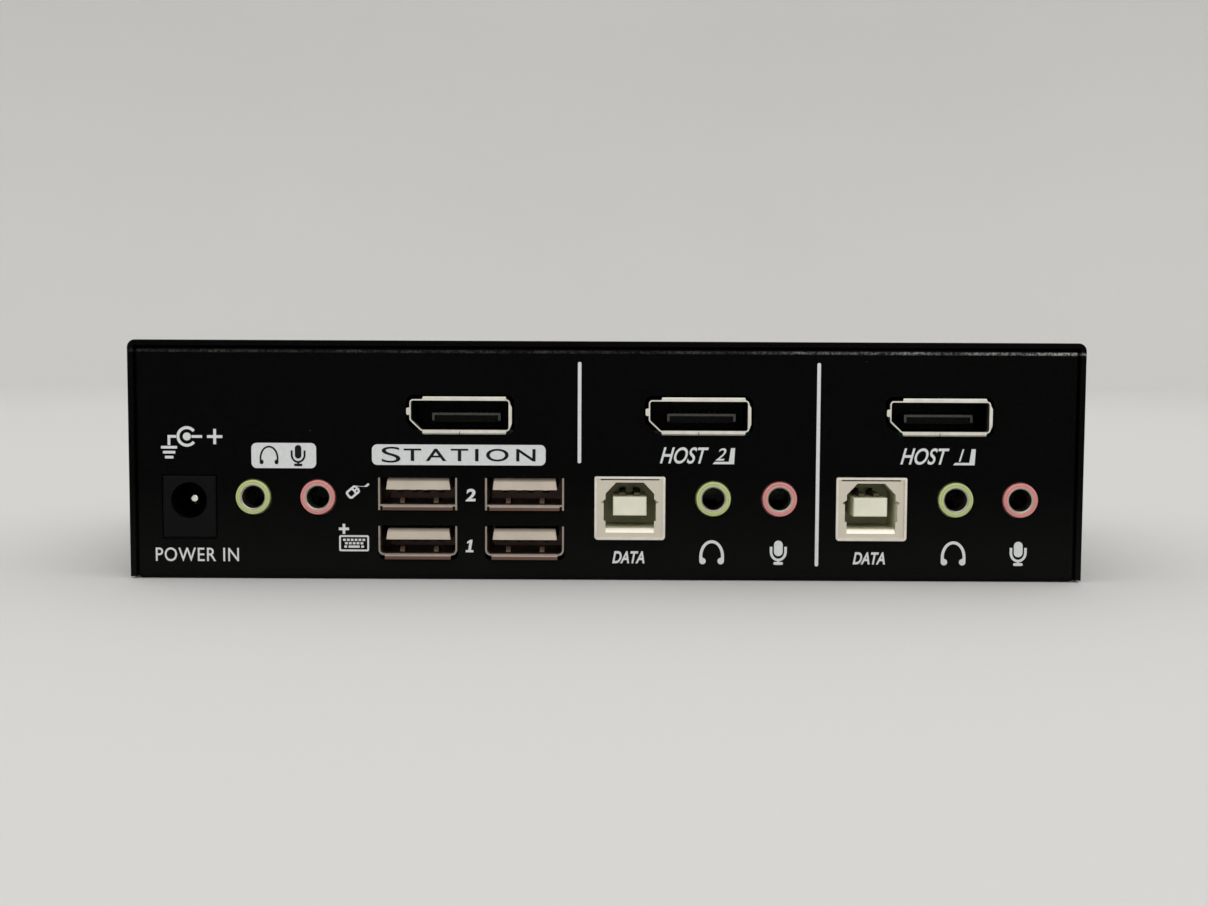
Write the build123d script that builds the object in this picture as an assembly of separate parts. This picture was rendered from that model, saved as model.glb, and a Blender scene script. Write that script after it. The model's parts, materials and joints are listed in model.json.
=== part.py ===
"""Two-computer KVM switch: a flat sheet-steel box with all its sockets on one long side.

Frame, in millimetres: X to the right as seen from the socket side, Y from the sockets (-Y) to the
buttons (+Y), Z up, with the origin at the middle of the underside.
"""
import os

from build123d import *

os.makedirs("parts", exist_ok=True)

# ---- enclosure -----------------------------------------------------------------------------------
CASE_WIDTH = 162.2
CASE_DEPTH = 100.0
CASE_HEIGHT = 40.7
COVER_SHEET = 1.0  # steel of the cover
COVER_CORNER = 1.35  # outside radius of its two long folds
COVER_LIFT = 0.3  # the cover's sides stop this far above the underside
COVER_EDGE = 0.2  # rounding of the coated edges at the cover's two ends
FIT_GAP = 0.12  # slack between the cover and the tray inside it
PANEL_INSET = 0.1  # the socket and button walls stand this far inside the cover's ends
TRAY_SHEET = 0.8  # steel of the tray and of the two end panels
TRAY_BEND = 0.95  # outside radius of their folds
END_RIM = 2.5  # depth of the rim folded inwards around each end panel
TRAY_SIDE = 12.0  # height of the tray's low side walls

TRAY_WIDTH = CASE_WIDTH - 2 * (COVER_SHEET + FIT_GAP)
TRAY_HEIGHT = CASE_HEIGHT - COVER_SHEET - FIT_GAP
PANEL_Y = -CASE_DEPTH / 2 + PANEL_INSET  # outer face of the socket wall
PANEL_BACK_Y = PANEL_Y + TRAY_SHEET
FRONT_Y = CASE_DEPTH / 2 - PANEL_INSET  # outer face of the button wall
FRONT_BACK_Y = FRONT_Y - TRAY_SHEET
REACH_Y = CASE_DEPTH / 2 + 0.5  # the furthest any piece stands out, at both ends

# ---- front label ---------------------------------------------------------------------------------
LABEL_SIZE = (126.0, 27.0)
LABEL_Z = 20.4
LABEL_CORNER = 2.0
LABEL_THICKNESS = 0.25

# ---- cover screws --------------------------------------------------------------------------------
COVER_SCREW_Y = (-25.0, 25.0)
COVER_SCREW_Z = 9.6
SCREW_RADIUS = 1.5
SCREW_HEAD_RADIUS = SCREW_RADIUS + COVER_SHEET  # 90 degree countersink through the cover
COVER_SCREW_LENGTH = 4.5
SCREW_RECESS = (0.7, 2.6, 0.7)  # cross recess: width, length, depth

# ---- boards --------------------------------------------------------------------------------------
BOARD_THICKNESS = 1.6
BOARD_TOP = 7.05  # upper face of the main board
BOARD_BOTTOM = BOARD_TOP - BOARD_THICKNESS
BOARD_HALF_WIDTH = 77.0
BOARD_REAR_Y = PANEL_BACK_Y + 1.0
BOARD_FRONT_Y = 44.5
BOARD_SLOT_SLACK = 0.3  # around each USB-A stack, which hangs through the board
VIDEO_BOARD_X = (-47.0, 73.0)
VIDEO_BOARD_Y = (PANEL_BACK_Y + 3.5, 8.0)
SPACER_PLACES = ((-42.0, -41.0), (35.95, -41.0), (-42.0, 2.0), (35.95, 2.0), (68.5, 2.0))
MAIN_SCREW_PLACES = ((-72.0, -27.0), (72.0, -27.0), (-72.0, 38.0), (72.0, 38.0))
SPACER_FLATS = 5.0
STUD_RADIUS = 1.25
STUD_CLEARANCE = 0.6  # between a spacer's stud and the tray's floor
BOARD_HOLE_RADIUS = 1.6
BOARD_SCREW_HEAD = (2.6, 1.8)  # radius, height
BOARD_SCREW_CROWN = 0.9
BOARD_SCREW_LENGTH = 5.0

# ---- link between the boards ---------------------------------------------------------------------
LINK_X = (-12.0, 28.0)
LINK_Y = (0.0, 5.0)
LINK_SPLIT = 15.2  # height where the plug meets the socket
LINK_COLUMNS = 16
LINK_PITCH = 2.54
LINK_END = 1.0  # from the body's end to its first pin
LINK_PIN = (0.64, 4.0)  # width, length
LINK_HOLE = (0.8, 4.5)  # width, depth

# ---- parts on the boards: places are X, Y of the middle ------------------------------------------
LEAD = (0.3, 1.0, 0.2)  # width, reach, thickness of a chip's leads
CHIP_LEAD_MARGIN = 0.7  # from a chip's corner to its first lead
CHIP_STANDOFF = 0.1
USB_HUB_PLACES = ((-23.0, -21.0), (26.0, -16.0))
USB_HUB = (9.0, 1.5, 12)  # size, height, leads on each side
VIDEO_SWITCH_PLACE = (18.0, -14.0)
VIDEO_SWITCH = (14.0, 1.5, 20)
CONTROLLER_PLACE = (2.0, 24.0)
CONTROLLER = (7.0, 1.4, 10)
MAIN_CRYSTAL_PLACES = ((-8.0, -22.0), (12.0, 24.0))
VIDEO_CRYSTAL_PLACE = (34.0, -14.0)
CRYSTAL = (10.6, 4.6, 3.4)  # length, width, height
LARGE_CAPACITOR = (4.0, 11.5)  # radius, height
SMALL_CAPACITOR = (3.15, 8.0)
LARGE_CAPACITOR_PLACES = ((-62.0, -27.0), (-52.0, -27.0))
SMALL_CAPACITOR_PLACES = ((-62.0, -16.0), (54.0, -26.0))
CAPACITOR_GROOVE = (1.6, 2.2, 0.3)  # bottom and top above the board, depth
INDUCTOR_PLACES = ((-50.0, -14.0), (-50.0, 0.0))
INDUCTOR = (7.0, 1.5, 4.0)  # width, corner radius, height
REGULATOR_PLACES = ((-64.0, -2.0), (-64.0, 12.0))
REGULATOR_BODY = (6.6, 6.0, 2.2)
REGULATOR_TAB = (5.2, 1.4, 0.6)
REGULATOR_LEG = (0.8, 2.4, 0.6)
REGULATOR_PITCH = 2.3
CHIP_CAPACITOR = (1.6, 0.8, 0.8)  # length, width, height
CHIP_CAPACITOR_COUNT = 8  # in each row
BUZZER_PLACE = (48.0, 26.0)
BUZZER = (6.0, 8.5)  # radius, height
BUZZER_HOLE = (1.0, 2.0)  # radius, depth

# ---- DisplayPort sockets -------------------------------------------------------------------------
DP_X = {"console": -24.78, "computer_2": 15.72, "computer_1": 56.52}
DP_Z = 28.12
DP_OPENING = (16.55, 4.95)
DP_CORNER = 0.4
DP_KEY = (1.85, 1.75)  # the corner cut off the opening, across and up
DP_SHEET = 0.22
DP_LIP_SHEET = 0.3
DP_LIP_REACH = {"top": 0.69, "bottom": 0.78, "right": 0.55}  # outwards from the opening
DP_LIP_FRONT = 0.45  # the lips stand this far in front of the panel
DP_LIP_BEVEL = 0.25
DP_SEAM = 0.12  # gap where the shell's edges meet, in the middle of the bottom lip
DP_WINDOW_SLACK = 0.15
DP_SHELL_DEPTH = 14.0
DP_TONGUE = (11.8, 1.55)
DP_TONGUE_SHIFT = (0.7, -0.53)
DP_TONGUE_TIP = 4.1  # depth of the tongue's tip behind the panel's outer face
DP_BACK_WALL = 9.0
DP_TIP_FRAME = (0.4, 0.35)  # face width and depth of the metal strip around the tongue's tip
DP_TIP_FRAME_DROP = 1.3
DP_CONTACT = (0.4, 0.12)  # width, thickness
DP_CONTACT_PITCH = 1.0
DP_CONTACTS_PER_SIDE = 10
DP_CONTACT_SET_BACK = (0.7, 2.2)  # behind the tip, on the upper and on the lower face
VIDEO_BOARD_TOP = DP_Z - DP_OPENING[1] / 2 - DP_SHEET
VIDEO_BOARD_BOTTOM = VIDEO_BOARD_TOP - BOARD_THICKNESS

# ---- double USB-A sockets ------------------------------------------------------------------------
USB_A_X = {"left": -31.97, "right": -13.8}
USB_A_WIDTH = 13.4
USB_A_SHEET = 0.3
USB_A_FRONT = 0.3  # the shell stands out this far in front of the panel
USB_A_DEPTH = 17.0
USB_A_PORTS = ((4.5, 9.2), (12.9, 17.45))  # floor and ceiling of the lower and upper port
USB_A_TOP = USB_A_PORTS[1][1] + 0.4
USB_A_CORNER = 1.0  # round lower corners of the stack
USB_A_TONGUES = ((6.83, 8.7), (15.38, 17.35))  # underside and top of each tongue
USB_A_TONGUE_WIDTHS = (10.95, 10.4)  # at the underside and at the top
USB_A_TONGUE_BEVEL = 0.55
USB_A_TONGUE_TIP = 0.5
USB_A_CONTACT_X = (-3.5, -1.0, 1.0, 3.5)
USB_A_CONTACT_WIDTH = 1.0
USB_A_FINGER_X = 2.9
USB_A_FINGER_WIDTH = 0.8
USB_A_BACK_WALL = 11.5
USB_A_LIP = (0.3, 0.65)  # the lip below each port: how far it slopes out, and down
USB_A_LIP_WIDTHS = (11.2, 11.9)  # lower and upper port
USB_A_WINDOW_SLACK = 0.12

# ---- USB-B sockets -------------------------------------------------------------------------------
USB_B_X = {"computer_2": 4.1, "computer_1": 45.1}
USB_B_WIDTH = 12.0
USB_B_HEIGHT = 10.8
USB_B_CORNERS = (0.6, 0.3)  # radius of the lower and of the upper corners
USB_B_SHEET = 0.4
USB_B_FRONT = 0.6  # the rim stands out this far in front of the panel
USB_B_PLATE = (0.4, 0.35)  # depth of the front plate behind the rim, and its thickness
USB_B_DEPTH = 16.0
USB_B_BACK_WALL = 9.0
USB_B_TONGUE = (5.7, 3.18)
USB_B_TONGUE_SHIFT = 0.25
USB_B_TONGUE_TIP = 0.35
USB_B_OPENING_HALF_WIDTH = 4.13
USB_B_OPENING_Z = (-3.5, 4.36)  # bottom and top of the opening, from the socket's middle
USB_B_SLOPE = 0.7  # height of the sloping sill below the opening
USB_B_CEILING_GAP = 0.25  # shadow gap between the rim and the top of the plate
USB_B_CONTACT_X = 1.25
USB_B_CONTACT = (0.95, 0.6, 0.3)  # width, height above the tongue, height below it
USB_B_CONTACT_TIPS = (2.0, 5.0)  # depth of the upper and of the lower contacts' tips
USB_B_SLOT = (1.25, 0.95, 4.0)  # width, height, depth of the contact slots in the back wall
USB_B_SLOT_SHIFT = 2.35
USB_B_Z = BOARD_TOP + USB_B_HEIGHT / 2

# ---- audio jacks ---------------------------------------------------------------------------------
JACK_Z = 14.05
HEADPHONE_X = {"console": -59.95, "computer_2": 18.3, "computer_1": 59.45}
MICROPHONE_X = {"console": -48.95, "computer_2": 29.55, "computer_1": 70.4}
JACK_NOZZLE_RADIUS = 2.93
JACK_NOZZLE_EDGE = 0.25
JACK_HOLE_SLACK = 0.2
JACK_GROOVE = (2.5, 2.58, 0.12)  # inside and outside radius, depth
JACK_BORE_RADIUS = 1.9
JACK_BORE_CHAMFER = 0.18
JACK_BUSHING_RADIUS = 2.22
JACK_BUSHING_SET_BACK = 0.12
JACK_BUSHING_END = 3.5
JACK_CAVITY_RADIUS = 2.6  # room for the contacts behind the bushing
JACK_BODY_HALF_WIDTH = 3.3
JACK_BODY_DEPTH = 13.5
JACK_BACK_WALL = 1.0
JACK_CONTACT_WIDTH = 2.2
JACK_CONTACT_START = 1.0  # behind the bushing

# ---- power inlet ---------------------------------------------------------------------------------
INLET_X = -70.85
INLET_SIZE = (9.0, 10.55)
INLET_DEPTH = 14.0
INLET_FRONT = 0.3
INLET_EDGE = 0.25
INLET_WINDOW_SLACK = 0.2
INLET_HOLE_Z = BOARD_TOP + 6.4
INLET_HOLE_RADIUS = 3.08
INLET_HOLE_END = 9.5
INLET_PIN_RADIUS = 1.0
INLET_PIN_TIP = 2.7
INLET_PIN_ROUNDING = 0.7
INLET_SPRING_DROP = 4.2
INLET_SPRING_START = 3.0
INLET_SPRING_WIDTH = 2.0

# ---- selection buttons ---------------------------------------------------------------------------
BUTTON_X = {"1": -20.0, "2": 20.0}
BUTTON_Z = 14.4
BUTTON_FACE = (9.0, 6.0)
BUTTON_CORNER = 1.2
BUTTON_CROWN = 0.4
BUTTON_SLACK = 0.3  # all around the button in its opening
BUTTON_FLANGE = (11.4, 8.4)
BUTTON_FLANGE_Y = (FRONT_BACK_Y - 1.3, FRONT_BACK_Y - 0.3)
PLUNGER_RADIUS = 1.75
PLUNGER_SLACK = 0.1
PLUNGER_END_Y = 44.3
SWITCH_Y = (41.5, 45.0)
SWITCH_POCKET_Y = 43.3
SWITCH_WIDTH = 6.2
SWITCH_EAR = (3.6, 1.0, 0.8)  # distance from the middle, width, thickness
LAMP_SHIFT = -10.0  # each lamp stands this far beside its button
LAMP_RADIUS = 1.5
LAMP_DOME_SET_BACK = 0.9  # middle of the dome's sphere, behind the button wall's outer face
LAMP_BACK_Y = 45.0
LAMP_COLLAR = (0.4, 1.0)  # reach, length
LAMP_WIRE = (0.5, 2.5)  # width, straight run behind the lamp
LAMP_WIRE_SHIFT = 1.0


# ---- helpers -------------------------------------------------------------------------------------
def block(x0, x1, y0, y1, z0, z1):
    """An axis-aligned box between the given limits."""
    middle = Pos((x0 + x1) / 2, (y0 + y1) / 2, (z0 + z1) / 2)
    return middle * Box(x1 - x0, y1 - y0, z1 - z0)


def along_y(sketch, y0, y1):
    """A sketch drawn in (X, Z), made solid from y0 to y1."""
    plane = Plane(origin=(0, y1, 0), x_dir=(1, 0, 0), z_dir=(0, -1, 0))
    return extrude(plane * sketch, amount=y1 - y0)


def along_x(sketch, x0, x1):
    """A sketch drawn in (Y, Z), made solid from x0 to x1."""
    plane = Plane(origin=(x0, 0, 0), x_dir=(0, 1, 0), z_dir=(1, 0, 0))
    return extrude(plane * sketch, amount=x1 - x0)


def polygon(*points):
    return make_face(Polyline(*points, close=True))


def disc(x, z, radius):
    return Pos(x, z) * Circle(radius)


def panel(x, z, width, height):
    return Pos(x, z) * Rectangle(width, height)


def rounded_panel(x, z, width, height, radius):
    return Pos(x, z) * RectangleRounded(width, height, radius)


def post(x, y, z0, z1, radius):
    return Pos(x, y, (z0 + z1) / 2) * Cylinder(radius, z1 - z0)


def hexagonal_post(x, y, z0, z1):
    shape = Rot(0, 0, 30) * RegularPolygon(SPACER_FLATS / 2, 6, major_radius=False)
    return extrude(Pos(x, y, z0) * shape, amount=z1 - z0)


def group(solids):
    return Compound(list(solids))


# ---- outlines that the sockets and the panel share -----------------------------------------------
def dp_outline(margin):
    """The opening of a DisplayPort socket around (0, 0), grown by margin."""
    half_width, half_height = DP_OPENING[0] / 2, DP_OPENING[1] / 2
    key_across, key_up = DP_KEY
    outline = polygon(
        (-half_width, half_height),
        (half_width, half_height),
        (half_width, -half_height),
        (-half_width + key_across, -half_height),
        (-half_width, -half_height + key_up),
    )
    outline = fillet(outline.vertices(), DP_CORNER)
    return offset(outline, amount=margin) if margin else outline


def usb_a_outline(bottom, top, margin, corner):
    """A slice of a USB-A stack's cavity, grown sideways by margin; corner rounds its lower corners."""
    half_width = USB_A_WIDTH / 2 - USB_A_SHEET + margin
    outline = polygon((-half_width, bottom), (half_width, bottom), (half_width, top), (-half_width, top))
    if not corner:
        return outline
    return fillet(outline.vertices().sort_by(Axis.Y)[:2], corner)


def usb_b_body_outline(margin):
    """The rim of a USB-B socket, grown by margin; its lower corners are rounder than the upper ones."""
    lower, upper = USB_B_CORNERS
    outline = Rectangle(USB_B_WIDTH + 2 * margin, USB_B_HEIGHT + 2 * margin)
    outline = fillet(outline.vertices().sort_by(Axis.Y)[:2], max(lower + margin, 0.1))
    return fillet(outline.vertices().sort_by(Axis.Y)[-2:], max(upper + margin, 0.1))


def usb_b_opening():
    """The mouth of a USB-B socket: cut top corners, a small notch and a step on each side."""
    bottom, top = USB_B_OPENING_Z
    half = USB_B_OPENING_HALF_WIDTH
    right_side = (
        (half, bottom),
        (half, bottom + 1.32),
        (half + 0.32, bottom + 1.32),
        (half + 0.32, bottom + 4.3),
        (half + 0.8, bottom + 4.5),
        (half, bottom + 5.0),
        (half, top - 1.92),
        (half - 1.78, top),
    )
    left_side = tuple((-x, z) for x, z in reversed(right_side))
    return polygon(*right_side, *left_side)


# ---- enclosure pieces ----------------------------------------------------------------------------
def inner_shell(y0, y1, top):
    """The folded sheet inside the cover: a round-edged shell, kept from y0 to y1 and up to top."""
    outside = Pos(0, 0, TRAY_HEIGHT / 2) * Box(TRAY_WIDTH, 2 * FRONT_Y, TRAY_HEIGHT)
    outside = fillet(outside.edges(), TRAY_BEND)
    thin = 2 * TRAY_SHEET
    inside = Pos(0, 0, TRAY_HEIGHT / 2) * Box(TRAY_WIDTH - thin, 2 * FRONT_Y - thin, TRAY_HEIGHT - thin)
    inside = fillet(inside.edges(), TRAY_BEND - TRAY_SHEET)
    return (outside - inside) & block(-TRAY_WIDTH, TRAY_WIDTH, y0, y1, 0, top)


def usb_a_windows():
    """Outlines of the panel's two cut-outs around a USB-A stack, with room for the lips."""
    windows = []
    for (floor, ceiling), corner in zip(USB_A_PORTS, (USB_A_CORNER, 0)):
        bottom = floor - USB_A_SHEET - USB_A_LIP[1] - USB_A_WINDOW_SLACK
        windows.append(usb_a_outline(bottom, ceiling + 0.1, USB_A_SHEET + USB_A_WINDOW_SLACK, corner))
    return windows


def panel_openings():
    """Cut-outs of the socket wall."""
    y0, y1 = PANEL_Y - 1, PANEL_BACK_Y + 1
    dp_window = dp_outline(max(DP_LIP_REACH.values()) + DP_WINDOW_SLACK)
    cuts = [along_y(Pos(x, DP_Z) * dp_window, y0, y1) for x in DP_X.values()]
    for x in USB_A_X.values():
        cuts += [along_y(Pos(x, 0) * window, y0, y1) for window in usb_a_windows()]
    cuts += [along_y(Pos(x, USB_B_Z) * usb_b_body_outline(0.2), y0, y1) for x in USB_B_X.values()]
    for x in (*HEADPHONE_X.values(), *MICROPHONE_X.values()):
        cuts.append(along_y(disc(x, JACK_Z, JACK_NOZZLE_RADIUS + JACK_HOLE_SLACK), y0, y1))
    width, height = (size + 2 * INLET_WINDOW_SLACK for size in INLET_SIZE)
    cuts.append(along_y(panel(INLET_X, BOARD_TOP + INLET_SIZE[1] / 2, width, height), y0, y1))
    return cuts


def front_openings(slack):
    """Cut-outs for the buttons and lamps, in the button wall and in the label on it."""
    y0, y1 = FRONT_BACK_Y - 1, FRONT_Y + 1
    width, height = BUTTON_FACE[0] + 2 * slack, BUTTON_FACE[1] + 2 * slack
    cuts = []
    for x in BUTTON_X.values():
        cuts.append(along_y(rounded_panel(x, BUTTON_Z, width, height, BUTTON_CORNER + slack), y0, y1))
        cuts.append(along_y(disc(x + LAMP_SHIFT, BUTTON_Z, LAMP_RADIUS + 0.1), y0, y1))
    return cuts


def cover_screw_places():
    """(side, y) of each cover screw; side is -1 on the left and 1 on the right."""
    return [(side, y) for side in (-1, 1) for y in COVER_SCREW_Y]


def sideways(shape, side, y):
    """A shape made along +Z with its outer face at z = 0, turned to go in through a side wall."""
    return Pos(side * CASE_WIDTH / 2, y, COVER_SCREW_Z) * Rot(0, side * 90, 0) * shape


def chassis_tray():
    """The floor with its low side walls, between the two end panels that are welded to it."""
    tray = inner_shell(-FRONT_Y + END_RIM, FRONT_Y - END_RIM, TRAY_SIDE)
    for side, y in cover_screw_places():
        tray -= sideways(Cylinder(SCREW_RADIUS, 12), side, y)
    return tray


def socket_panel():
    """The end panel with all the sockets' cut-outs, a shallow pan with a folded rim."""
    panel_sheet = inner_shell(-FRONT_Y, -FRONT_Y + END_RIM, TRAY_HEIGHT)
    for cut in panel_openings():
        panel_sheet -= cut
    return panel_sheet


def button_panel():
    """The opposite end panel, open for the buttons and lamps."""
    panel_sheet = inner_shell(FRONT_Y - END_RIM, FRONT_Y, TRAY_HEIGHT)
    for cut in front_openings(BUTTON_SLACK):
        panel_sheet -= cut
    return panel_sheet


def top_cover():
    height = CASE_HEIGHT - COVER_LIFT
    outside = Pos(0, 0, COVER_LIFT + height / 2) * Box(CASE_WIDTH, CASE_DEPTH, height)
    top_folds = outside.edges().filter_by(Axis.Y).sort_by(Axis.Z)[-2:]
    outside = fillet(top_folds, COVER_CORNER)
    inner_width = CASE_WIDTH - 2 * COVER_SHEET
    inside = Pos(0, 0, (CASE_HEIGHT - COVER_SHEET) / 2) * Box(
        inner_width, CASE_DEPTH + 2, CASE_HEIGHT - COVER_SHEET
    )
    inner_folds = inside.edges().filter_by(Axis.Y).sort_by(Axis.Z)[-2:]
    cover = outside - fillet(inner_folds, COVER_CORNER - COVER_SHEET)
    ends = cover.faces().sort_by(Axis.Y)
    cover = fillet(ends[0].edges() + ends[-1].edges(), COVER_EDGE)
    cone = Pos(0, 0, -COVER_SHEET / 2) * Cone(SCREW_RADIUS, SCREW_HEAD_RADIUS, COVER_SHEET)
    for side, y in cover_screw_places():
        cover -= sideways(cone, side, y)
    return cover


def cover_screws():
    """Four countersunk screws through the cover's sides into the tray's low side walls."""
    width, length, depth = SCREW_RECESS
    head = Pos(0, 0, -COVER_SHEET / 2) * Cone(SCREW_RADIUS, SCREW_HEAD_RADIUS, COVER_SHEET)
    shank = Pos(0, 0, -COVER_SCREW_LENGTH / 2) * Cylinder(SCREW_RADIUS, COVER_SCREW_LENGTH)
    screw = head + shank
    screw -= Box(width, length, 2 * depth)
    screw -= Box(length, width, 2 * depth)
    return group(sideways(screw, side, y) for side, y in cover_screw_places())


def front_label():
    """The printed label on the button wall."""
    sheet = rounded_panel(0, LABEL_Z, *LABEL_SIZE, LABEL_CORNER)
    label = along_y(sheet, FRONT_Y, FRONT_Y + LABEL_THICKNESS)
    for cut in front_openings(BUTTON_SLACK + 0.1):
        label -= cut
    return label


# ---- boards and what holds them ------------------------------------------------------------------
def main_board():
    board = block(-BOARD_HALF_WIDTH, BOARD_HALF_WIDTH, BOARD_REAR_Y, BOARD_FRONT_Y, BOARD_BOTTOM, BOARD_TOP)
    half_slot = USB_A_WIDTH / 2 + BOARD_SLOT_SLACK
    slot_back = PANEL_Y + USB_A_DEPTH + BOARD_SLOT_SLACK
    for x in USB_A_X.values():
        board -= block(x - half_slot, x + half_slot, BOARD_REAR_Y, slot_back, BOARD_BOTTOM, BOARD_TOP)
    for x, y in SPACER_PLACES + MAIN_SCREW_PLACES:
        board -= post(x, y, BOARD_BOTTOM, BOARD_TOP, BOARD_HOLE_RADIUS)
    return board


def video_board():
    board = block(*VIDEO_BOARD_X, *VIDEO_BOARD_Y, VIDEO_BOARD_BOTTOM, VIDEO_BOARD_TOP)
    for x, y in SPACER_PLACES:
        board -= post(x, y, VIDEO_BOARD_BOTTOM, VIDEO_BOARD_TOP, BOARD_HOLE_RADIUS)
    return board


def board_standoffs():
    """Threaded hexagonal posts pressed into the tray's floor, under the main board."""
    posts = []
    for x, y in SPACER_PLACES + MAIN_SCREW_PLACES:
        whole = hexagonal_post(x, y, TRAY_SHEET, BOARD_BOTTOM)
        posts.append(whole - post(x, y, TRAY_SHEET, BOARD_BOTTOM, STUD_RADIUS))
    return group(posts)


def board_spacers():
    """Tall hexagonal spacers from the main board to the video board, each with a stud below."""
    spacers = []
    for x, y in SPACER_PLACES:
        stud = post(x, y, TRAY_SHEET + STUD_CLEARANCE, BOARD_TOP, STUD_RADIUS)
        whole = hexagonal_post(x, y, BOARD_TOP, VIDEO_BOARD_BOTTOM) + stud
        tapped = post(x, y, VIDEO_BOARD_BOTTOM - BOARD_SCREW_LENGTH, VIDEO_BOARD_BOTTOM, STUD_RADIUS)
        spacers.append(whole - tapped)
    return group(spacers)


def board_screw(x, y, seat):
    """A pan-head screw whose head rests at height seat."""
    radius, height = BOARD_SCREW_HEAD
    head = post(x, y, seat, seat + height, radius)
    head = fillet(head.edges().sort_by(Axis.Z)[-1:], BOARD_SCREW_CROWN)
    width, length, depth = SCREW_RECESS
    head -= Pos(x, y, seat + height) * Box(width, length, 2 * depth)
    head -= Pos(x, y, seat + height) * Box(length, width, 2 * depth)
    return head + post(x, y, seat - BOARD_SCREW_LENGTH, seat, STUD_RADIUS)


def board_screws():
    upper = [board_screw(x, y, VIDEO_BOARD_TOP) for x, y in SPACER_PLACES]
    return group(upper + [board_screw(x, y, BOARD_TOP) for x, y in MAIN_SCREW_PLACES])


def link_grid(width, length):
    """Square rods of the given width and length, one at each pin of the link between the boards."""
    middle = sum(LINK_Y) / 2
    half = width / 2
    rods = []
    for column in range(LINK_COLUMNS):
        x = LINK_X[0] + LINK_END + LINK_PITCH * column
        for y in (middle - LINK_PITCH / 2, middle + LINK_PITCH / 2):
            rods.append(block(x - half, x + half, y - half, y + half, LINK_SPLIT, LINK_SPLIT + length))
    return rods


def link_plug():
    """Tall pin header on the main board."""
    body = block(*LINK_X, *LINK_Y, BOARD_TOP, LINK_SPLIT)
    return body.fuse(*link_grid(*LINK_PIN))


def link_socket():
    """Its socket, under the video board."""
    body = block(*LINK_X, *LINK_Y, LINK_SPLIT, VIDEO_BOARD_BOTTOM)
    return body.cut(*link_grid(*LINK_HOLE))


# ---- parts on the boards -------------------------------------------------------------------------
def chip(place, base, size, height, leads):
    """A flat chip, standing on height base, with a row of leads on each side."""
    x, y = place
    lead_width, lead_reach, lead_thickness = LEAD
    half = size / 2
    body = block(x - half, x + half, y - half, y + half, base + CHIP_STANDOFF, base + height)
    pieces = [chamfer(body.edges(), 0.15)]
    pitch = (size - 2 * CHIP_LEAD_MARGIN) / (leads - 1)
    for n in range(leads):
        along = -half + CHIP_LEAD_MARGIN + n * pitch
        foot = block(
            half, half + lead_reach, along - lead_width / 2, along + lead_width / 2, 0, lead_thickness
        )
        pieces += [Pos(x, y, base) * Rot(0, 0, 90 * turn) * foot for turn in range(4)]
    return pieces


def usb_hub_chips():
    return group(piece for place in USB_HUB_PLACES for piece in chip(place, BOARD_TOP, *USB_HUB))


def video_switch_chip():
    return group(chip(VIDEO_SWITCH_PLACE, VIDEO_BOARD_TOP, *VIDEO_SWITCH))


def controller_chip():
    return group(chip(CONTROLLER_PLACE, BOARD_TOP, *CONTROLLER))


def crystals():
    """Metal-cased crystals beside the hub chips, the controller and the video switch."""
    length, width, height = CRYSTAL
    places = [(x, y, BOARD_TOP) for x, y in MAIN_CRYSTAL_PLACES] + [(*VIDEO_CRYSTAL_PLACE, VIDEO_BOARD_TOP)]
    cans = []
    for place in places:
        can = extrude(Pos(*place) * SlotOverall(length, width), amount=height)
        cans.append(fillet(can.edges().sort_by(Axis.Z)[-4:], 0.5))
    return group(cans)


def electrolytic_capacitors():
    """Upright round capacitors behind the power inlet and beside a USB-B socket."""
    low, high, depth = CAPACITOR_GROOVE
    sizes = [(place, LARGE_CAPACITOR) for place in LARGE_CAPACITOR_PLACES]
    sizes += [(place, SMALL_CAPACITOR) for place in SMALL_CAPACITOR_PLACES]
    cans = []
    for (x, y), (radius, height) in sizes:
        can = post(x, y, BOARD_TOP, BOARD_TOP + height, radius)
        groove = post(x, y, BOARD_TOP + low, BOARD_TOP + high, radius + 1)
        can -= groove - post(x, y, BOARD_TOP + low, BOARD_TOP + high, radius - depth)
        cans.append(fillet(can.edges().sort_by(Axis.Z)[-1:], 0.4))
    return group(cans)


def power_inductors():
    """Square shielded coils of the two voltage converters."""
    width, corner, height = INDUCTOR
    shape = RectangleRounded(width, width, corner)
    return group(extrude(Pos(x, y, BOARD_TOP) * shape, amount=height) for x, y in INDUCTOR_PLACES)


def standing(x, y, size, lift=0.0):
    """A block of the given size, centred on (x, y), lift above the main board."""
    width, depth, height = size
    base = BOARD_TOP + lift
    return block(x - width / 2, x + width / 2, y - depth / 2, y + depth / 2, base, base + height)


def voltage_regulators():
    """Tabbed regulators beside the coils."""
    body_edge = REGULATOR_BODY[1] / 2
    pieces = []
    for x, y in REGULATOR_PLACES:
        pieces.append(standing(x, y, REGULATOR_BODY, CHIP_STANDOFF))
        pieces.append(standing(x, y + body_edge + REGULATOR_TAB[1] / 2, REGULATOR_TAB))
        for shift in (-REGULATOR_PITCH, 0.0, REGULATOR_PITCH):
            pieces.append(standing(x + shift, y - body_edge - REGULATOR_LEG[1] / 2, REGULATOR_LEG))
    return group(pieces)


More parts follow.
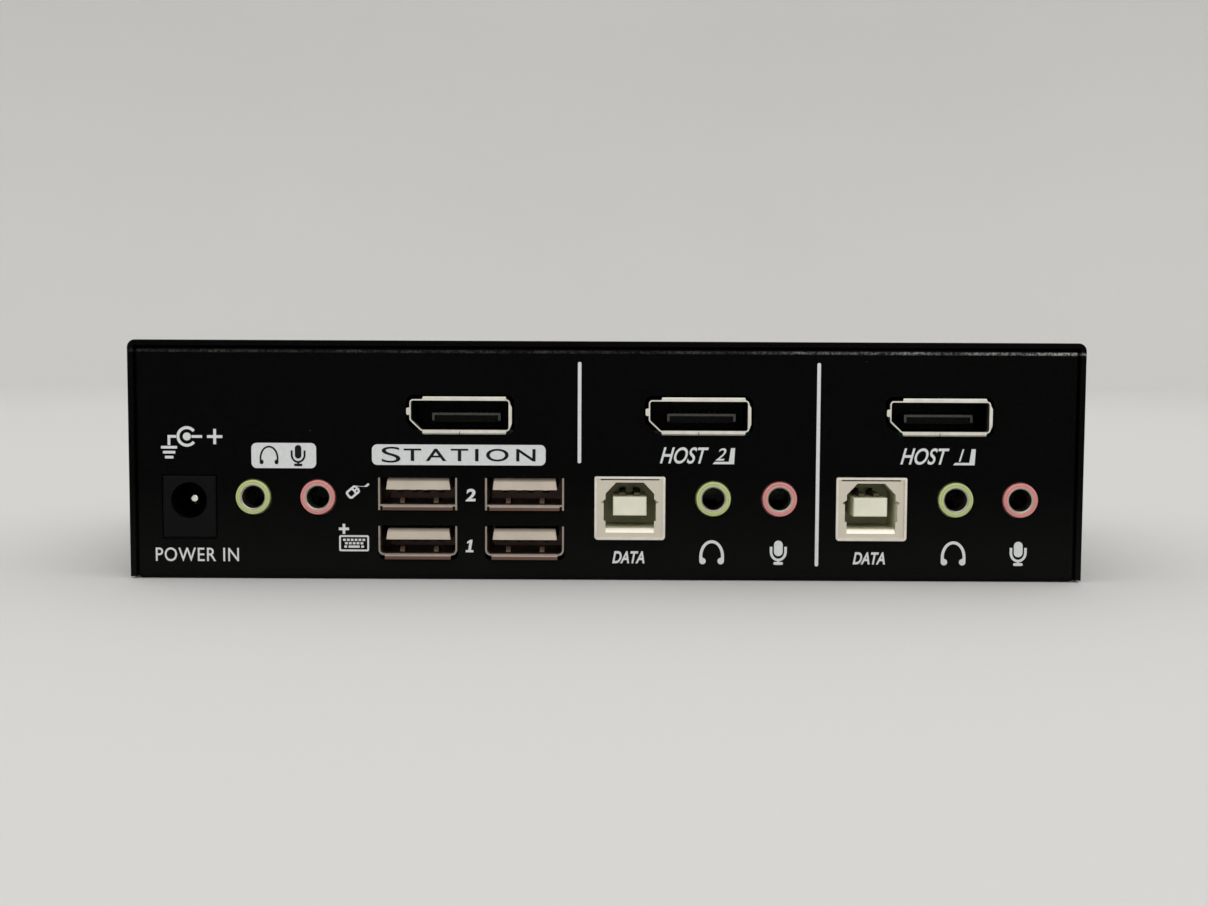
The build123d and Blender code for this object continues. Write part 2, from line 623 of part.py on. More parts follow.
def chip_capacitors():
    """Rows of small ceramic parts on the main board and the video board."""
    length, width, height = CHIP_CAPACITOR
    flat = Box(length, width, height)
    upright = Box(width, length, height)
    main_z, video_z = BOARD_TOP + height / 2, VIDEO_BOARD_TOP + height / 2
    pieces = []
    for n in range(CHIP_CAPACITOR_COUNT):
        pieces.append(Pos(-29.2 + 4 * n, 12.4, main_z) * flat)
        pieces.append(Pos(44.4, -29.2 + 3 * n, video_z) * upright)
        pieces.append(Pos(-9.6 + 3 * n, -29.2, video_z) * upright)
    return group(pieces)


def buzzer():
    """Round sounder that answers each change of computer."""
    radius, height = BUZZER
    hole_radius, hole_depth = BUZZER_HOLE
    top = BOARD_TOP + height
    can = post(*BUZZER_PLACE, BOARD_TOP, top, radius)
    can = fillet(can.edges().sort_by(Axis.Z)[-1:], 0.6)
    return can - post(*BUZZER_PLACE, top - hole_depth, top, hole_radius)


# ---- DisplayPort sockets -------------------------------------------------------------------------
def dp_lips():
    """Outlines of the lips flared out around the mouth: top, bottom, right and a small left tab."""
    half_width, half_height = DP_OPENING[0] / 2, DP_OPENING[1] / 2
    left, right = -half_width + DP_KEY[0], half_width - 0.3
    long_lips = []
    for up, reach in ((1, DP_LIP_REACH["top"]), (-1, DP_LIP_REACH["bottom"])):
        root, edge = up * half_height, up * (half_height + reach)
        long_lips.append(polygon((left, root), (right, root), (right - 0.2, edge), (left + 0.2, edge)))
    outer = half_width + DP_LIP_REACH["right"]
    side = polygon(
        (half_width, 2.25), (half_width + 0.15, 2.15), (outer, 1.4),
        (outer, -1.4), (half_width + 0.15, -2.4), (half_width, -2.45),
    )
    tab = rounded_panel(-half_width - DP_SHEET - 0.17, 0.65, 0.75, 1.25, 0.3)
    return *long_lips, side, tab


def dp_shell(x):
    """The shell with its flared lips; top and bottom lips are bevelled, the bottom one has a seam."""
    front = PANEL_Y - DP_LIP_FRONT
    lip_back = front + DP_LIP_SHEET
    shell = along_y(dp_outline(DP_SHEET), front, PANEL_Y + DP_SHELL_DEPTH)
    lips = [along_y(outline, front, lip_back) for outline in dp_lips()]
    for index, last in ((0, -1), (1, 0)):
        outer_edges = lips[index].edges().filter_by(Axis.X).group_by(Axis.Z)[last]
        lips[index] = chamfer(outer_edges.sort_by(Axis.Y)[0], DP_LIP_BEVEL)
    seam_top = -DP_OPENING[1] / 2 - DP_SHEET
    lips[1] -= block(-DP_SEAM / 2, DP_SEAM / 2, front, lip_back, -DP_OPENING[1], seam_top)
    for lip in lips:
        shell += lip
    shell -= along_y(dp_outline(0), front, PANEL_Y + DP_SHELL_DEPTH)
    return Pos(x, 0, DP_Z) * shell


def dp_tongue_box():
    """Left, right, underside and top of the tongue, from the middle of the opening."""
    width, thickness = DP_TONGUE
    middle_x, middle_z = DP_TONGUE_SHIFT
    return (
        middle_x - width / 2, middle_x + width / 2, middle_z - thickness / 2, middle_z + thickness / 2
    )


def dp_insert(x):
    """The insulator: a block across the back of the shell, and the flat tongue in front of it."""
    body = along_y(dp_outline(-0.02), PANEL_Y + DP_BACK_WALL, PANEL_Y + DP_SHELL_DEPTH)
    left, right, low, high = dp_tongue_box()
    tip = PANEL_Y + DP_TONGUE_TIP + DP_TIP_FRAME[1]
    body += block(left, right, tip, PANEL_Y + DP_BACK_WALL, low, high)
    return Pos(x, 0, DP_Z) * body


def dp_contacts(x):
    """Fine contact strips on both faces of the tongue, and the metal strip folded around its tip."""
    left, right, low, high = dp_tongue_box()
    face, depth = DP_TIP_FRAME
    tip = PANEL_Y + DP_TONGUE_TIP
    frame = block(left, right, tip, tip + depth, high - face, high)
    for x0 in (left, right - face):
        frame += block(x0, x0 + face, tip, tip + depth, high - DP_TIP_FRAME_DROP, high)
    width, thickness = DP_CONTACT
    upper_y, lower_y = (tip + set_back for set_back in DP_CONTACT_SET_BACK)
    back = PANEL_Y + DP_BACK_WALL
    strips = [frame]
    for n in range(DP_CONTACTS_PER_SIDE):
        x0 = (left + right - width) / 2 + (n - (DP_CONTACTS_PER_SIDE - 1) / 2) * DP_CONTACT_PITCH
        strips.append(block(x0, x0 + width, upper_y, back, high, high + thickness))
        strips.append(block(x0, x0 + width, lower_y, back, low - thickness, low))
    return group(Pos(x, 0, DP_Z) * strip for strip in strips)


# ---- double USB-A sockets ------------------------------------------------------------------------
def usb_a_lip(floor, width):
    """The lip of one port, sloping out and down from the front edge of its floor."""
    out, down = USB_A_LIP
    front, root = PANEL_Y - USB_A_FRONT, floor - USB_A_SHEET
    section = polygon(
        (front + 0.7, root),
        (front, root),
        (front - out, root - down),
        (front - out + USB_A_SHEET, root - down),
    )
    return along_x(section, -width / 2, width / 2)


def usb_a_finger(floor, middle):
    """A spring finger that stands up from a port's floor and leans back."""
    section = polygon(
        (PANEL_Y + 6.0, floor),
        (PANEL_Y + 3.0, floor + 1.0),
        (PANEL_Y + 2.2, floor + 1.0),
        (PANEL_Y + 1.6, floor + 0.1),
        (PANEL_Y + 1.9, floor + 0.05),
        (PANEL_Y + 2.4, floor + 0.75),
        (PANEL_Y + 3.0, floor + 0.75),
        (PANEL_Y + 5.2, floor),
    )
    return along_x(section, middle - USB_A_FINGER_WIDTH / 2, middle + USB_A_FINGER_WIDTH / 2)


def usb_a_shell(x):
    """One folded shell around both ports, set back between them and above the upper one."""
    (low_floor, low_ceiling), (high_floor, high_ceiling) = USB_A_PORTS
    front, back = PANEL_Y - USB_A_FRONT, PANEL_Y + USB_A_DEPTH
    bottom = low_floor - USB_A_SHEET
    shell = along_y(usb_a_outline(bottom, USB_A_TOP, USB_A_SHEET, USB_A_CORNER), front, back)
    shell -= along_y(usb_a_outline(low_floor, low_ceiling, 0, USB_A_CORNER - USB_A_SHEET), front, back)
    shell -= along_y(usb_a_outline(high_floor, high_ceiling, 0, 0), front, back)
    between = (low_ceiling + USB_A_SHEET, high_floor - USB_A_SHEET)
    shell -= along_y(usb_a_outline(*between, 0, 0), front, back)
    shell -= along_y(usb_a_outline(low_ceiling, high_floor, 0, 0), PANEL_Y + USB_A_BACK_WALL, back)
    wide = USB_A_WIDTH
    bar_top = high_floor - USB_A_SHEET - USB_A_LIP[1]
    shell -= block(-wide, wide, front, PANEL_BACK_Y + 0.2, low_ceiling, bar_top)
    shell -= block(-wide, wide, front, PANEL_BACK_Y + 0.7, high_ceiling, USB_A_TOP)
    for (floor, _), width in zip(USB_A_PORTS, USB_A_LIP_WIDTHS):
        shell += usb_a_lip(floor, width)
        for middle in (-USB_A_FINGER_X, USB_A_FINGER_X):
            shell += usb_a_finger(floor, middle)
    return Pos(x, 0, 0) * shell


def usb_a_insert(x):
    """Pale block that fills the back of the shell and reaches forward as the two tongues."""
    (low_floor, low_ceiling), (high_floor, high_ceiling) = USB_A_PORTS
    back_wall, back = PANEL_Y + USB_A_BACK_WALL, PANEL_Y + USB_A_DEPTH
    half_width = USB_A_WIDTH / 2 - USB_A_SHEET
    insert = along_y(usb_a_outline(low_floor, high_ceiling, 0, USB_A_CORNER - USB_A_SHEET), back_wall, back)
    between = (low_ceiling + USB_A_SHEET, high_floor - USB_A_SHEET)
    insert += block(-half_width, half_width, PANEL_BACK_Y + 1.0, back_wall, *between)
    wide, narrow = (width / 2 for width in USB_A_TONGUE_WIDTHS)
    for underside, top in USB_A_TONGUES:
        section = polygon((-wide, underside), (wide, underside), (narrow, top), (-narrow, top))
        tongue = along_y(section, PANEL_Y + USB_A_TONGUE_TIP, back_wall)
        upper_edge = tongue.faces().sort_by(Axis.Y)[0].edges().sort_by(Axis.Z)[-1]
        insert += chamfer(upper_edge, USB_A_TONGUE_BEVEL)
    return Pos(x, 0, 0) * insert


def usb_a_contacts(x):
    """Four bowed contact springs under each tongue."""
    back_wall = PANEL_Y + USB_A_BACK_WALL
    springs = []
    for underside, _ in USB_A_TONGUES:
        section = polygon(
            (back_wall, underside),
            (PANEL_Y + 1.6, underside),
            (PANEL_Y + 1.6, underside - 0.15),
            (PANEL_Y + 3.6, underside - 0.75),
            (PANEL_Y + 4.6, underside - 0.75),
            (back_wall, underside - 0.2),
        )
        half = USB_A_CONTACT_WIDTH / 2
        springs += [along_x(section, at - half, at + half) for at in USB_A_CONTACT_X]
    return Pos(x, 0, 0) * group(springs)


# ---- USB-B sockets -------------------------------------------------------------------------------
def usb_b_shell(x):
    """A folded metal box with a front plate set behind its rim, and a sloping sill below the mouth."""
    front, back = PANEL_Y - USB_B_FRONT, PANEL_Y + USB_B_DEPTH
    plate_depth, plate_thickness = USB_B_PLATE
    plate_front = front + plate_depth
    plate_back = plate_front + plate_thickness
    shell = along_y(usb_b_body_outline(0), front, back)
    shell -= along_y(usb_b_body_outline(-USB_B_SHEET), front, back)
    plate = along_y(usb_b_body_outline(-USB_B_SHEET), plate_front, plate_back)
    plate -= along_y(usb_b_opening(), plate_front, plate_back)
    bottom = USB_B_OPENING_Z[0]
    sill = polygon((plate_front, bottom - USB_B_SLOPE), (plate_back, bottom), (plate_front, bottom))
    plate -= along_x(sill, -USB_B_OPENING_HALF_WIDTH, USB_B_OPENING_HALF_WIDTH)
    ceiling = USB_B_HEIGHT / 2 - USB_B_SHEET
    half_gap = USB_B_WIDTH / 2 - 1.0
    plate -= block(-half_gap, half_gap, plate_front, plate_back, ceiling - USB_B_CEILING_GAP, ceiling)
    return Pos(x, 0, USB_B_Z) * (shell + plate)


def usb_b_insert(x):
    """The insulator: walls around the mouth, the square tongue and a slotted back wall."""
    start = PANEL_Y - USB_B_FRONT + sum(USB_B_PLATE)
    back, back_wall = PANEL_Y + USB_B_DEPTH, PANEL_Y + USB_B_BACK_WALL
    half = USB_B_OPENING_HALF_WIDTH + 0.35
    bottom, top = USB_B_OPENING_Z
    cavity = polygon(
        (half, bottom), (half, top - 2.0), (half - 2.0, top),
        (-half + 2.0, top), (-half, top - 2.0), (-half, bottom),
    )
    insert = along_y(usb_b_body_outline(-USB_B_SHEET), start, back)
    insert -= along_y(cavity, start, back_wall)
    insert -= along_y(usb_b_opening(), start, start + 2.0)
    ceiling = USB_B_HEIGHT / 2 - USB_B_SHEET
    insert -= block(-USB_B_WIDTH, USB_B_WIDTH, start, start + 2.0, ceiling - USB_B_CEILING_GAP, ceiling)
    tongue = along_y(panel(0, USB_B_TONGUE_SHIFT, *USB_B_TONGUE), PANEL_Y + USB_B_TONGUE_TIP, back_wall)
    insert += chamfer(tongue.faces().sort_by(Axis.Y)[0].edges(), 0.15)
    slot_width, slot_height, slot_depth = USB_B_SLOT
    for at in (-USB_B_CONTACT_X, USB_B_CONTACT_X):
        slot = panel(at, USB_B_SLOT_SHIFT, slot_width, slot_height)
        insert -= along_y(slot, back_wall, back_wall + slot_depth)
    return Pos(x, 0, USB_B_Z) * insert


def usb_b_contacts(x):
    """Two contact springs above the tongue and two below it."""
    half_tongue = USB_B_TONGUE[1] / 2
    width, above, below = USB_B_CONTACT
    upper_y, lower_y = (PANEL_Y + tip for tip in USB_B_CONTACT_TIPS)
    back_wall = PANEL_Y + USB_B_BACK_WALL
    top, bottom = USB_B_TONGUE_SHIFT + half_tongue, USB_B_TONGUE_SHIFT - half_tongue
    strips = []
    for at in (-USB_B_CONTACT_X, USB_B_CONTACT_X):
        x0, x1 = at - width / 2, at + width / 2
        strips.append(block(x0, x1, upper_y, back_wall, top, top + above))
        strips.append(block(x0, x1, lower_y, back_wall, bottom - below, bottom))
    return Pos(x, 0, USB_B_Z) * group(strips)


# ---- audio jacks ---------------------------------------------------------------------------------
def jack_housing(x):
    """Coloured jack body with the round nozzle that stands through the panel."""
    tip = -REACH_Y
    body_front, back = PANEL_BACK_Y + 0.2, PANEL_BACK_Y + JACK_BODY_DEPTH
    bushing_end, cavity_end = PANEL_Y + JACK_BUSHING_END, back - JACK_BACK_WALL
    half_width = JACK_BODY_HALF_WIDTH
    housing = block(x - half_width, x + half_width, body_front, back, BOARD_TOP, JACK_Z + half_width)
    nozzle = along_y(disc(x, JACK_Z, JACK_NOZZLE_RADIUS), tip, body_front)
    housing += fillet(nozzle.faces().sort_by(Axis.Y)[0].edges(), JACK_NOZZLE_EDGE)
    inside, outside, depth = JACK_GROOVE
    housing -= along_y(disc(x, JACK_Z, outside) - disc(x, JACK_Z, inside), tip, tip + depth)
    housing -= along_y(disc(x, JACK_Z, JACK_BUSHING_RADIUS), tip, bushing_end)
    housing -= along_y(disc(x, JACK_Z, JACK_CAVITY_RADIUS), bushing_end, cavity_end)
    return housing


def jack_bushing(x):
    """Metal collar pressed into the nozzle; its bore guides the plug."""
    front, back = -REACH_Y + JACK_BUSHING_SET_BACK, PANEL_Y + JACK_BUSHING_END
    collar = along_y(disc(x, JACK_Z, JACK_BUSHING_RADIUS), front, back)
    collar -= along_y(disc(x, JACK_Z, JACK_BORE_RADIUS), front, back)
    mouth = collar.edges().filter_by(GeomType.CIRCLE).group_by(Axis.Y)[0].sort_by(SortBy.RADIUS)[0]
    return chamfer(mouth, JACK_BORE_CHAMFER)


def jack_contact(x):
    """The bent plug contact in the cavity behind the bushing, on the cavity's floor."""
    y0 = PANEL_Y + JACK_BUSHING_END + JACK_CONTACT_START
    section = polygon(
        (y0, JACK_Z - 2.1),
        (y0 + 2.4, JACK_Z - 0.8),
        (y0 + 3.2, JACK_Z - 0.8),
        (y0 + 6.0, JACK_Z - 2.1),
        (y0 + 5.6, JACK_Z - 2.25),
        (y0 + 3.0, JACK_Z - 1.05),
        (y0 + 2.6, JACK_Z - 1.05),
        (y0 + 0.3, JACK_Z - 2.25),
    )
    return along_x(section, x - JACK_CONTACT_WIDTH / 2, x + JACK_CONTACT_WIDTH / 2)


# ---- power inlet ---------------------------------------------------------------------------------
def inlet_housing():
    """Black body on the board; its front fills the panel's window."""
    width, height = INLET_SIZE
    front, back = PANEL_Y - INLET_FRONT, PANEL_Y + INLET_DEPTH
    body = block(INLET_X - width / 2, INLET_X + width / 2, front, back, BOARD_TOP, BOARD_TOP + height)
    body = chamfer(body.faces().sort_by(Axis.Y)[0].edges(), INLET_EDGE)
    hole_end = PANEL_Y + INLET_HOLE_END
    body -= along_y(disc(INLET_X, INLET_HOLE_Z, INLET_HOLE_RADIUS), front, hole_end)
    half_room = INLET_SPRING_WIDTH / 2 + 0.2
    room_front, room_floor = PANEL_Y + INLET_SPRING_START, INLET_HOLE_Z - INLET_SPRING_DROP
    body -= block(INLET_X - half_room, INLET_X + half_room, room_front, hole_end, room_floor, INLET_HOLE_Z)
    return body - along_y(disc(INLET_X, INLET_HOLE_Z, INLET_PIN_RADIUS), hole_end, back)


def inlet_pin():
    """Round centre pin, seated in the back of the housing."""
    tip, back = PANEL_Y + INLET_PIN_TIP, PANEL_Y + INLET_DEPTH
    pin = along_y(disc(INLET_X, INLET_HOLE_Z, INLET_PIN_RADIUS), tip, back)
    return fillet(pin.faces().sort_by(Axis.Y)[0].edges(), INLET_PIN_ROUNDING)


def inlet_spring():
    """Leaf spring that presses on the plug's barrel from below."""
    y0 = PANEL_Y + INLET_SPRING_START + 0.2
    low = INLET_HOLE_Z - INLET_SPRING_DROP
    section = polygon(
        (y0, low), (y0 + 2.6, low + 1.35), (y0 + 3.4, low + 1.35), (y0 + 6.0, low),
        (y0 + 5.5, low), (y0 + 3.3, low + 1.1), (y0 + 2.7, low + 1.1), (y0 + 0.5, low),
    )
    return along_x(section, INLET_X - INLET_SPRING_WIDTH / 2, INLET_X + INLET_SPRING_WIDTH / 2)


# ---- buttons, their switches and lamps -----------------------------------------------------------
def select_button(x):
    """Cap with a crowned face, kept behind the wall by a flange."""
    width, height = BUTTON_FACE
    face = rounded_panel(x, BUTTON_Z, width, height, BUTTON_CORNER)
    cap = along_y(face, BUTTON_FLANGE_Y[1], REACH_Y)
    cap = fillet(cap.faces().sort_by(Axis.Y)[-1].edges(), BUTTON_CROWN)
    flange = rounded_panel(x, BUTTON_Z, *BUTTON_FLANGE, BUTTON_CORNER)
    return cap + along_y(flange, *BUTTON_FLANGE_Y)


def switch_plunger(x):
    plunger = along_y(disc(x, BUTTON_Z, PLUNGER_RADIUS), PLUNGER_END_Y, BUTTON_FLANGE_Y[0])
    return chamfer(plunger.faces().sort_by(Axis.Y)[0].edges(), 0.2)


def tactile_switch(x):
    """Upright tactile switch with the round pocket that its plunger slides in."""
    half_width = SWITCH_WIDTH / 2
    body = block(x - half_width, x + half_width, *SWITCH_Y, BOARD_TOP, BUTTON_Z + half_width)
    distance, width, thickness = SWITCH_EAR
    ear_y = SWITCH_Y[0] + 0.6
    for middle in (x - distance, x + distance):
        body += block(middle - width / 2, middle + width / 2, ear_y, ear_y + thickness, BOARD_TOP, BUTTON_Z)
    pocket = disc(x, BUTTON_Z, PLUNGER_RADIUS + PLUNGER_SLACK)
    return body - along_y(pocket, SWITCH_POCKET_Y, SWITCH_Y[1])


def port_lamp(x):
    """A domed lamp on two bent wires."""
    dome_y = FRONT_Y - LAMP_DOME_SET_BACK
    collar_reach, collar_length = LAMP_COLLAR
    lamp = along_y(disc(x, BUTTON_Z, LAMP_RADIUS), LAMP_BACK_Y, dome_y)
    lamp += Pos(x, dome_y, BUTTON_Z) * Sphere(LAMP_RADIUS) & block(
        x - LAMP_RADIUS, x + LAMP_RADIUS, dome_y, dome_y + LAMP_RADIUS, 0, CASE_HEIGHT
    )
    lamp += along_y(disc(x, BUTTON_Z, LAMP_RADIUS + collar_reach), LAMP_BACK_Y, LAMP_BACK_Y + collar_length)
    width, run = LAMP_WIRE
    half = width / 2
    bend_y = LAMP_BACK_Y - run
    for middle in (x - LAMP_WIRE_SHIFT, x + LAMP_WIRE_SHIFT):
        x0, x1 = middle - half, middle + half
        lamp += block(x0, x1, bend_y, LAMP_BACK_Y, BUTTON_Z - half, BUTTON_Z + half)
        lamp += block(x0, x1, bend_y, bend_y + width, BOARD_TOP, BUTTON_Z + half)
    return lamp


def port_lamps():
    return group(port_lamp(button_x + LAMP_SHIFT) for button_x in BUTTON_X.values())


# ---- every node ----------------------------------------------------------------------------------
def all_nodes():
    nodes = {
        "top_cover": top_cover(),
        "chassis_tray": chassis_tray(),
        "socket_panel": socket_panel(),
        "button_panel": button_panel(),
        "cover_screws": cover_screws(),
        "front_label": front_label(),
        "board_standoffs": board_standoffs(),
        "board_spacers": board_spacers(),
        "board_screws": board_screws(),
        "main_board": main_board(),
        "video_board": video_board(),
        "link_plug": link_plug(),
        "link_socket": link_socket(),
        "video_switch_chip": video_switch_chip(),
        "usb_hub_chips": usb_hub_chips(),
        "controller_chip": controller_chip(),
        "crystals": crystals(),
        "electrolytic_capacitors": electrolytic_capacitors(),
        "power_inductors": power_inductors(),
        "voltage_regulators": voltage_regulators(),
        "chip_capacitors": chip_capacitors(),
        "buzzer": buzzer(),
        "inlet_housing": inlet_housing(),
        "inlet_pin": inlet_pin(),
        "inlet_spring": inlet_spring(),
        "port_lamps": port_lamps(),
    }
    for name, x in DP_X.items():
        nodes[f"displayport_shell_{name}"] = dp_shell(x)
        nodes[f"displayport_insert_{name}"] = dp_insert(x)
        nodes[f"displayport_contacts_{name}"] = dp_contacts(x)
    for name, x in USB_A_X.items():
        nodes[f"usb_a_shell_{name}"] = usb_a_shell(x)
        nodes[f"usb_a_insert_{name}"] = usb_a_insert(x)
        nodes[f"usb_a_contacts_{name}"] = usb_a_contacts(x)
    for name, x in USB_B_X.items():
        nodes[f"usb_b_shell_{name}"] = usb_b_shell(x)
        nodes[f"usb_b_insert_{name}"] = usb_b_insert(x)
        nodes[f"usb_b_contacts_{name}"] = usb_b_contacts(x)
    for name, x in HEADPHONE_X.items():
        nodes[f"headphone_jack_{name}"] = jack_housing(x)
    for name, x in MICROPHONE_X.items():
        nodes[f"microphone_jack_{name}"] = jack_housing(x)
    all_jacks = (*HEADPHONE_X.values(), *MICROPHONE_X.values())
    nodes["jack_bushings"] = group(jack_bushing(x) for x in all_jacks)
    nodes["jack_contacts"] = group(jack_contact(x) for x in all_jacks)
    for name, x in BUTTON_X.items():
        nodes[f"select_button_{name}"] = select_button(x)
        nodes[f"switch_plunger_{name}"] = switch_plunger(x)
    nodes["tactile_switches"] = group(tactile_switch(x) for x in BUTTON_X.values())
    return nodes


for node, shape in all_nodes().items():
    export_step(shape, f"parts/{node}.step")
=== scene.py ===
"""Looks of a two-computer KVM switch: materials, printed legends, camera and light around the CAD frame."""
import json
import math

import bmesh
import bpy
from mathutils import Matrix, Vector


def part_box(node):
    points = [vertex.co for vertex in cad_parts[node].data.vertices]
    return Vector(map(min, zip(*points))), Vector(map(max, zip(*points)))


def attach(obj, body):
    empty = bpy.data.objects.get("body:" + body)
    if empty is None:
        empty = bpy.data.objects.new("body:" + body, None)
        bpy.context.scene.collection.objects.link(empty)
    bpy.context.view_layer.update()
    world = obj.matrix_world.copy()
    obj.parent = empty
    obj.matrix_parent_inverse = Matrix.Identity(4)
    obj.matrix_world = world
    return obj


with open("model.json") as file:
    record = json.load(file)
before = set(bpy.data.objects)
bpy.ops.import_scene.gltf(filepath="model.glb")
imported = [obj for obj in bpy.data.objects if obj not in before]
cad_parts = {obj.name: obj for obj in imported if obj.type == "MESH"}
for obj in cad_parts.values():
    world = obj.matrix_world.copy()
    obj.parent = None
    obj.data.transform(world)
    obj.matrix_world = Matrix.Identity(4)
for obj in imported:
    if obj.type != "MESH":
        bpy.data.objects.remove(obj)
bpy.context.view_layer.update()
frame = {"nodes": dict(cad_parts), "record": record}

MM = 0.001

# ---- places read from the frame -----------------------------------------------------------------
panel_low, panel_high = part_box("socket_panel")
cover_low, cover_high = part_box("top_cover")
PANEL_Y = panel_low.y  # outer face of the socket wall
PANEL_TOP = panel_high.z
LABEL_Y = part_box("front_label")[1].y
INK = 0.03 * MM  # thickness of a printed layer


def middle(node):
    """The middle of a node's box."""
    low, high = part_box(node)
    return (low + high) / 2


def gap_middle(left_node, right_node):
    """X halfway between two nodes that stand side by side."""
    return (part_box(left_node)[1].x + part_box(right_node)[0].x) / 2


JACK_ROW = middle("jack_bushings").z / MM  # height of the audio jacks' axes, in millimetres

# ---- camera ----------------------------------------------------------------------------------------
CAMERA_DISTANCE = 240 * MM  # in front of the cover's edge
CAMERA_HEIGHT = 37.75 * MM
CAMERA_SIDE = 0.3 * MM
CAMERA_LENS = 42.25
CAMERA_YAW, CAMERA_PITCH, CAMERA_ROLL = (math.radians(a) for a in (-0.15, 3.80, 0.25))


def make_camera():
    """A nearly level view of the socket side, from just under the height of the cover's top."""
    forward = Vector((
        math.sin(CAMERA_YAW) * math.cos(CAMERA_PITCH),
        math.cos(CAMERA_YAW) * math.cos(CAMERA_PITCH),
        -math.sin(CAMERA_PITCH),
    ))
    level = Vector((math.cos(CAMERA_YAW), -math.sin(CAMERA_YAW), 0))
    above = level.cross(forward)
    right = level * math.cos(CAMERA_ROLL) + above * math.sin(CAMERA_ROLL)
    up = above * math.cos(CAMERA_ROLL) - level * math.sin(CAMERA_ROLL)
    data = bpy.data.cameras.new("camera")
    data.lens = CAMERA_LENS
    data.sensor_width = 36.0
    data.clip_start = 0.005
    camera = bpy.data.objects.new("camera", data)
    place = Matrix((right, up, -forward)).transposed().to_4x4()
    place.translation = (CAMERA_SIDE, cover_low.y - CAMERA_DISTANCE, CAMERA_HEIGHT)
    camera.matrix_world = place
    bpy.context.scene.collection.objects.link(camera)
    bpy.context.scene.camera = camera


# ---- materials ---------------------------------------------------------------------------------------
MIX_FIRST, MIX_SECOND, MIX_RESULT = 6, 7, 2  # the colour sockets of a Mix node


class Look:
    """A Principled material with object coordinates in metres and short calls for its texture nodes."""

    def __init__(self, name, **fixed):
        self.material = bpy.data.materials.new(name)
        self.material.use_nodes = True
        self.nodes = self.material.node_tree.nodes
        self.links = self.material.node_tree.links
        self.shader = self.nodes["Principled BSDF"]
        self.place = self.nodes.new("ShaderNodeTexCoord").outputs["Object"]
        for key, value in fixed.items():
            self.shader.inputs[key.replace("_", " ")].default_value = value

    def add(self, kind, **settings):
        node = self.nodes.new(kind)
        for key, value in settings.items():
            setattr(node, key, value)
        return node

    def link(self, source, target):
        self.links.new(source, target)

    def noise(self, size, detail=3.0, stretch=None):
        """Fractal noise whose blotches are about size metres across."""
        node = self.add("ShaderNodeTexNoise")
        node.inputs["Scale"].default_value = 1 / size
        node.inputs["Detail"].default_value = detail
        place = self.place
        if stretch:
            mapping = self.add("ShaderNodeMapping")
            mapping.inputs["Scale"].default_value = stretch
            self.link(place, mapping.inputs["Vector"])
            place = mapping.outputs["Vector"]
        self.link(place, node.inputs["Vector"])
        return node.outputs["Fac"]

    def spread(self, value, low, high, start=0.3, end=0.7):
        """A value remapped from start..end to low..high."""
        node = self.add("ShaderNodeMapRange")
        self.link(value, node.inputs["Value"])
        for key, number in (("From Min", start), ("From Max", end), ("To Min", low), ("To Max", high)):
            node.inputs[key].default_value = number
        return node.outputs["Result"]

    def mix(self, factor, first, second):
        """Two colours, or a colour node's output and a colour, mixed by factor."""
        node = self.add("ShaderNodeMix", data_type="RGBA")
        self.link(factor, node.inputs["Factor"])
        for socket, colour in ((node.inputs[MIX_FIRST], first), (node.inputs[MIX_SECOND], second)):
            if isinstance(colour, bpy.types.NodeSocket):
                self.link(colour, socket)
            else:
                socket.default_value = (*colour, 1)
        return node.outputs[MIX_RESULT]

    def shadow(self, base, steps):
        """The base colour, changed in steps of painted shade: each turns it to a colour between two depths.

        Depths are in millimetres behind the outer face of the socket wall.
        """
        place = self.add("ShaderNodeSeparateXYZ")
        self.link(self.place, place.inputs["Vector"])
        for start, end, deep in steps:
            depth = self.spread(place.outputs["Y"], 0.0, 1.0, PANEL_Y + start * MM, PANEL_Y + end * MM)
            base = self.mix(depth, base, deep)
        return base

    def colour(self, source):
        self.link(source, self.shader.inputs["Base Color"])

    def roughness(self, source):
        self.link(source, self.shader.inputs["Roughness"])

    def bump(self, height, depth, strength=1.0):
        """Relief of depth metres from a height between 0 and 1, added to any relief set before."""
        node = self.add("ShaderNodeBump")
        node.inputs["Distance"].default_value = depth
        node.inputs["Strength"].default_value = strength
        self.link(height, node.inputs["Height"])
        normal = self.shader.inputs["Normal"]
        if normal.is_linked:
            self.link(normal.links[0].from_socket, node.inputs["Normal"])
        self.link(node.outputs["Normal"], normal)


def shade(colour, factor):
    """The colour made lighter or darker by a factor."""
    return tuple(min(1.0, c * factor) for c in colour)


def multiplied(look, values):
    """The product of several values."""
    product = values[0]
    for value in values[1:]:
        both = look.add("ShaderNodeMath", operation="MULTIPLY")
        look.link(product, both.inputs[0])
        look.link(value, both.inputs[1])
        product = both.outputs[0]
    return product


def specks(look, cell, share, radius):
    """1 in small scattered dots, 0 elsewhere: one dot in a share of the cells, cell metres apart."""
    cells = look.add("ShaderNodeTexVoronoi")
    cells.inputs["Scale"].default_value = 1 / cell
    look.link(look.place, cells.inputs["Vector"])
    near = look.spread(cells.outputs["Distance"], 1.0, 0.0, radius * 0.6, radius)
    chosen = look.add("ShaderNodeSeparateColor")
    look.link(cells.outputs["Color"], chosen.inputs["Color"])
    kept = look.spread(chosen.outputs[0], 0.0, 1.0, 1.0 - share, 1.0 - share + 0.01)
    return multiplied(look, [near, kept])


